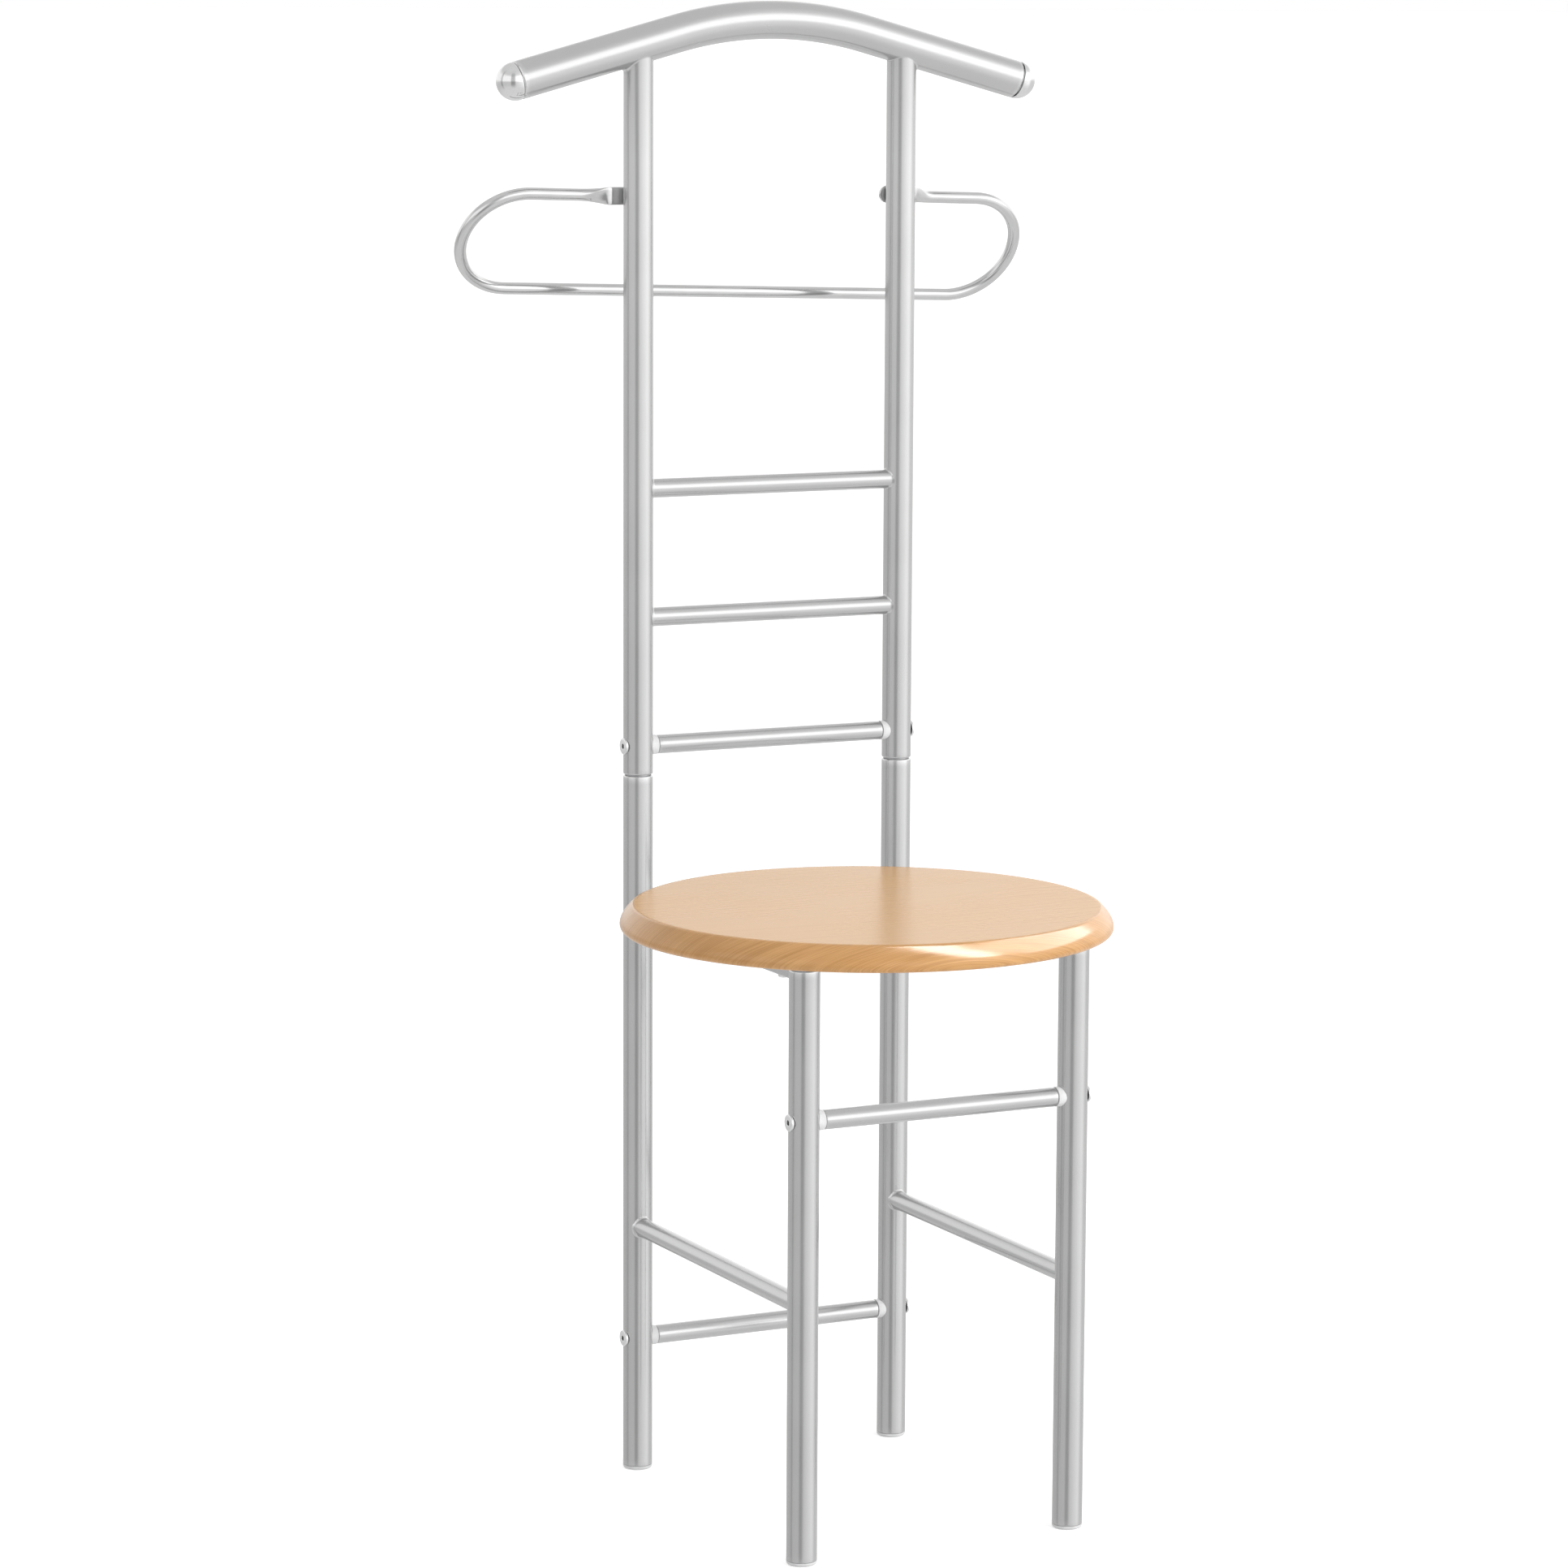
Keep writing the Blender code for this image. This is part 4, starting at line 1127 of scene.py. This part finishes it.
# Lamps: (degrees right of the camera's side, height, distance, width, tall, power)
KEY_LAMP = (56, 1.7, 2.8, 1.1, 1.6, 53)
VARNISH_LAMPS = {
    "varnish_glint": (60, 3.1, 1.9, 0.75, 3.0, 140),
    "varnish_haze": (108, 2.6, 2.6, 3.4, 2.4, 150),
}
FLOOR_LIFT = 0.36  # brightens the floor where the camera sees it
FLOOR_HALF = 400.0


def make_room():
    """Soft studio surroundings: white where the camera looks, grey panels in the reflections."""
    world = bpy.data.worlds.new("studio")
    bpy.context.scene.world = world
    world.use_nodes = True
    tree = world.node_tree
    tree.nodes.clear()
    way = node(tree, "ShaderNodeTexCoord").outputs["Generated"]
    forth = (math.sin(CAMERA_TURN), -math.cos(CAMERA_TURN), 0.0)
    right = (math.cos(CAMERA_TURN), math.sin(CAMERA_TURN), 0.0)
    aside = dot_product(tree, way, right)
    turn = maths(tree, "ARCTAN2", aside, dot_product(tree, way, forth))
    share = span(tree, turn, -math.pi, math.pi, 0.0, 1.0)
    ramp = node(tree, "ShaderNodeValToRGB", {0: share})
    stops = ramp.color_ramp.elements
    while len(stops) > 1:
        stops.remove(stops[-1])
    for k, (degrees, level) in enumerate(ROOM_PANELS):
        place = (degrees + 180) / 360
        stop = stops[0] if k == 0 else stops.new(place)
        stop.position = place
        stop.color = (level, level, level, 1.0)
    height = node(tree, "ShaderNodeSeparateXYZ", {0: way}).outputs[2]
    overhead = span(tree, height, 0.40, 0.92, 0.0, 1.0, smooth=True)
    below = span(tree, height, -0.75, -0.20, 1.0, 0.0, smooth=True)
    strip = maths(
        tree,
        "MULTIPLY",
        span(tree, height, -0.10, 0.08, 0.0, STRIP, smooth=True),
        span(tree, height, 0.36, 0.66, 1.0, 0.0, smooth=True),
    )
    level = span(tree, height, -0.26, -0.06, LOW_ROOM, 1.0)
    lit = vector_maths(tree, "SCALE", ramp.outputs[0], maths(tree, "ADD", strip, level))
    grey = mix_colour(tree, overhead, lit, (CEILING, CEILING, CEILING, 1.0))
    grey = mix_colour(tree, below, grey, (UNDERSIDE, UNDERSIDE, UNDERSIDE, 1.0))
    soft = span(tree, aside, -1.0, 1.0, AMBIENT["left"], AMBIENT["right"])
    overhead = span(tree, height, 0.2, 0.8, 0.0, 1.0, smooth=True)
    soft = toward(tree, overhead, soft, AMBIENT["overhead"])
    below = span(tree, height, -0.5, -0.1, 1.0, 0.0, smooth=True)
    soft = toward(tree, below, soft, AMBIENT["below"])
    path = node(tree, "ShaderNodeLightPath").outputs
    shown = mix_colour(tree, path["Is Diffuse Ray"], grey, soft)
    shown = mix_colour(tree, path["Is Camera Ray"], shown, (PAPER_WHITE, PAPER_WHITE, PAPER_WHITE, 1.0))
    background = node(tree, "ShaderNodeBackground", {"Color": shown, "Strength": 1.0})
    output = node(tree, "ShaderNodeOutputWorld")
    tree.links.new(background.outputs[0], output.inputs[0])


def softbox(name, turn, height, distance, width, tall, power):
    """A large soft light, turned so many degrees right of the camera's side."""
    data = bpy.data.lights.new(name, "AREA")
    data.shape = "RECTANGLE"
    data.size = width
    data.size_y = tall
    data.energy = power
    light = bpy.data.objects.new(name, data)
    bpy.context.scene.collection.objects.link(light)
    angle = CAMERA_TURN + math.radians(turn)
    aim = Vector((0.0, 0.0, 0.55))
    spot = Vector((math.sin(angle) * distance, -math.cos(angle) * distance, height))
    light.location = spot
    light.rotation_mode = "QUATERNION"
    light.rotation_quaternion = (spot - aim).to_track_quat("Z", "Y")
    return light


def make_floor():
    """A wide pale floor that runs out of sight, left out of the metal's reflections."""
    bm = bmesh.new()
    bmesh.ops.create_grid(bm, x_segments=24, y_segments=24, size=FLOOR_HALF)
    mesh = bpy.data.meshes.new("studio_floor")
    bm.to_mesh(mesh)
    bm.free()
    floor = bpy.data.objects.new("studio_floor", mesh)
    bpy.context.scene.collection.objects.link(floor)
    material, tree, shader = new_finish("pale studio board", 0.0)
    where = node(tree, "ShaderNodeTexCoord").outputs["Object"]
    fibre = noise(tree, where, 900.0, 3.0, 0.6)
    colour = mix_colour(tree, fibre, (0.90, 0.90, 0.90, 1.0), (0.94, 0.94, 0.94, 1.0))
    feed(tree, shader, colour, span(tree, fibre, 0.3, 0.7, 0.75, 0.85), fibre, 0.1, 0.0001)
    seen = node(tree, "ShaderNodeLightPath").outputs["Is Camera Ray"]
    lift = mix_colour(tree, seen, (0.0, 0.0, 0.0, 1.0), (FLOOR_LIFT, FLOOR_LIFT, FLOOR_LIFT, 1.0))
    tree.links.new(lift, shader.inputs["Emission Color"])
    shader.inputs["Emission Strength"].default_value = 1.0
    mesh.materials.append(material)
    floor.visible_glossy = False


def make_studio(board):
    """Room, floor, lamps and camera. Two of the lamps light only the gloss of the board."""
    scene = bpy.context.scene
    scene.view_settings.view_transform = "Standard"
    make_room()
    make_floor()
    key = softbox("key_softbox", *KEY_LAMP)
    key.visible_glossy = False
    varnished = bpy.data.collections.new("varnished")
    varnished.objects.link(board)
    for name, values in VARNISH_LAMPS.items():
        lamp = softbox(name, *values)
        lamp.visible_diffuse = False
        lamp.light_linking.receiver_collection = varnished
    make_camera()


# ---------------------------------------------------------------- the stand

make_hanger_bar()
make_hanger_caps()
make_upper_uprights()
make_legs()
make_foot_plugs()
make_leg_top_plugs()
make_welded_rungs()
make_side_stretchers()
make_screwed_rungs()
make_trouser_bar()
make_tab_screws()
seat_board = make_seat()
make_seat_rails()
make_inner_steel()
make_studio(seat_board)
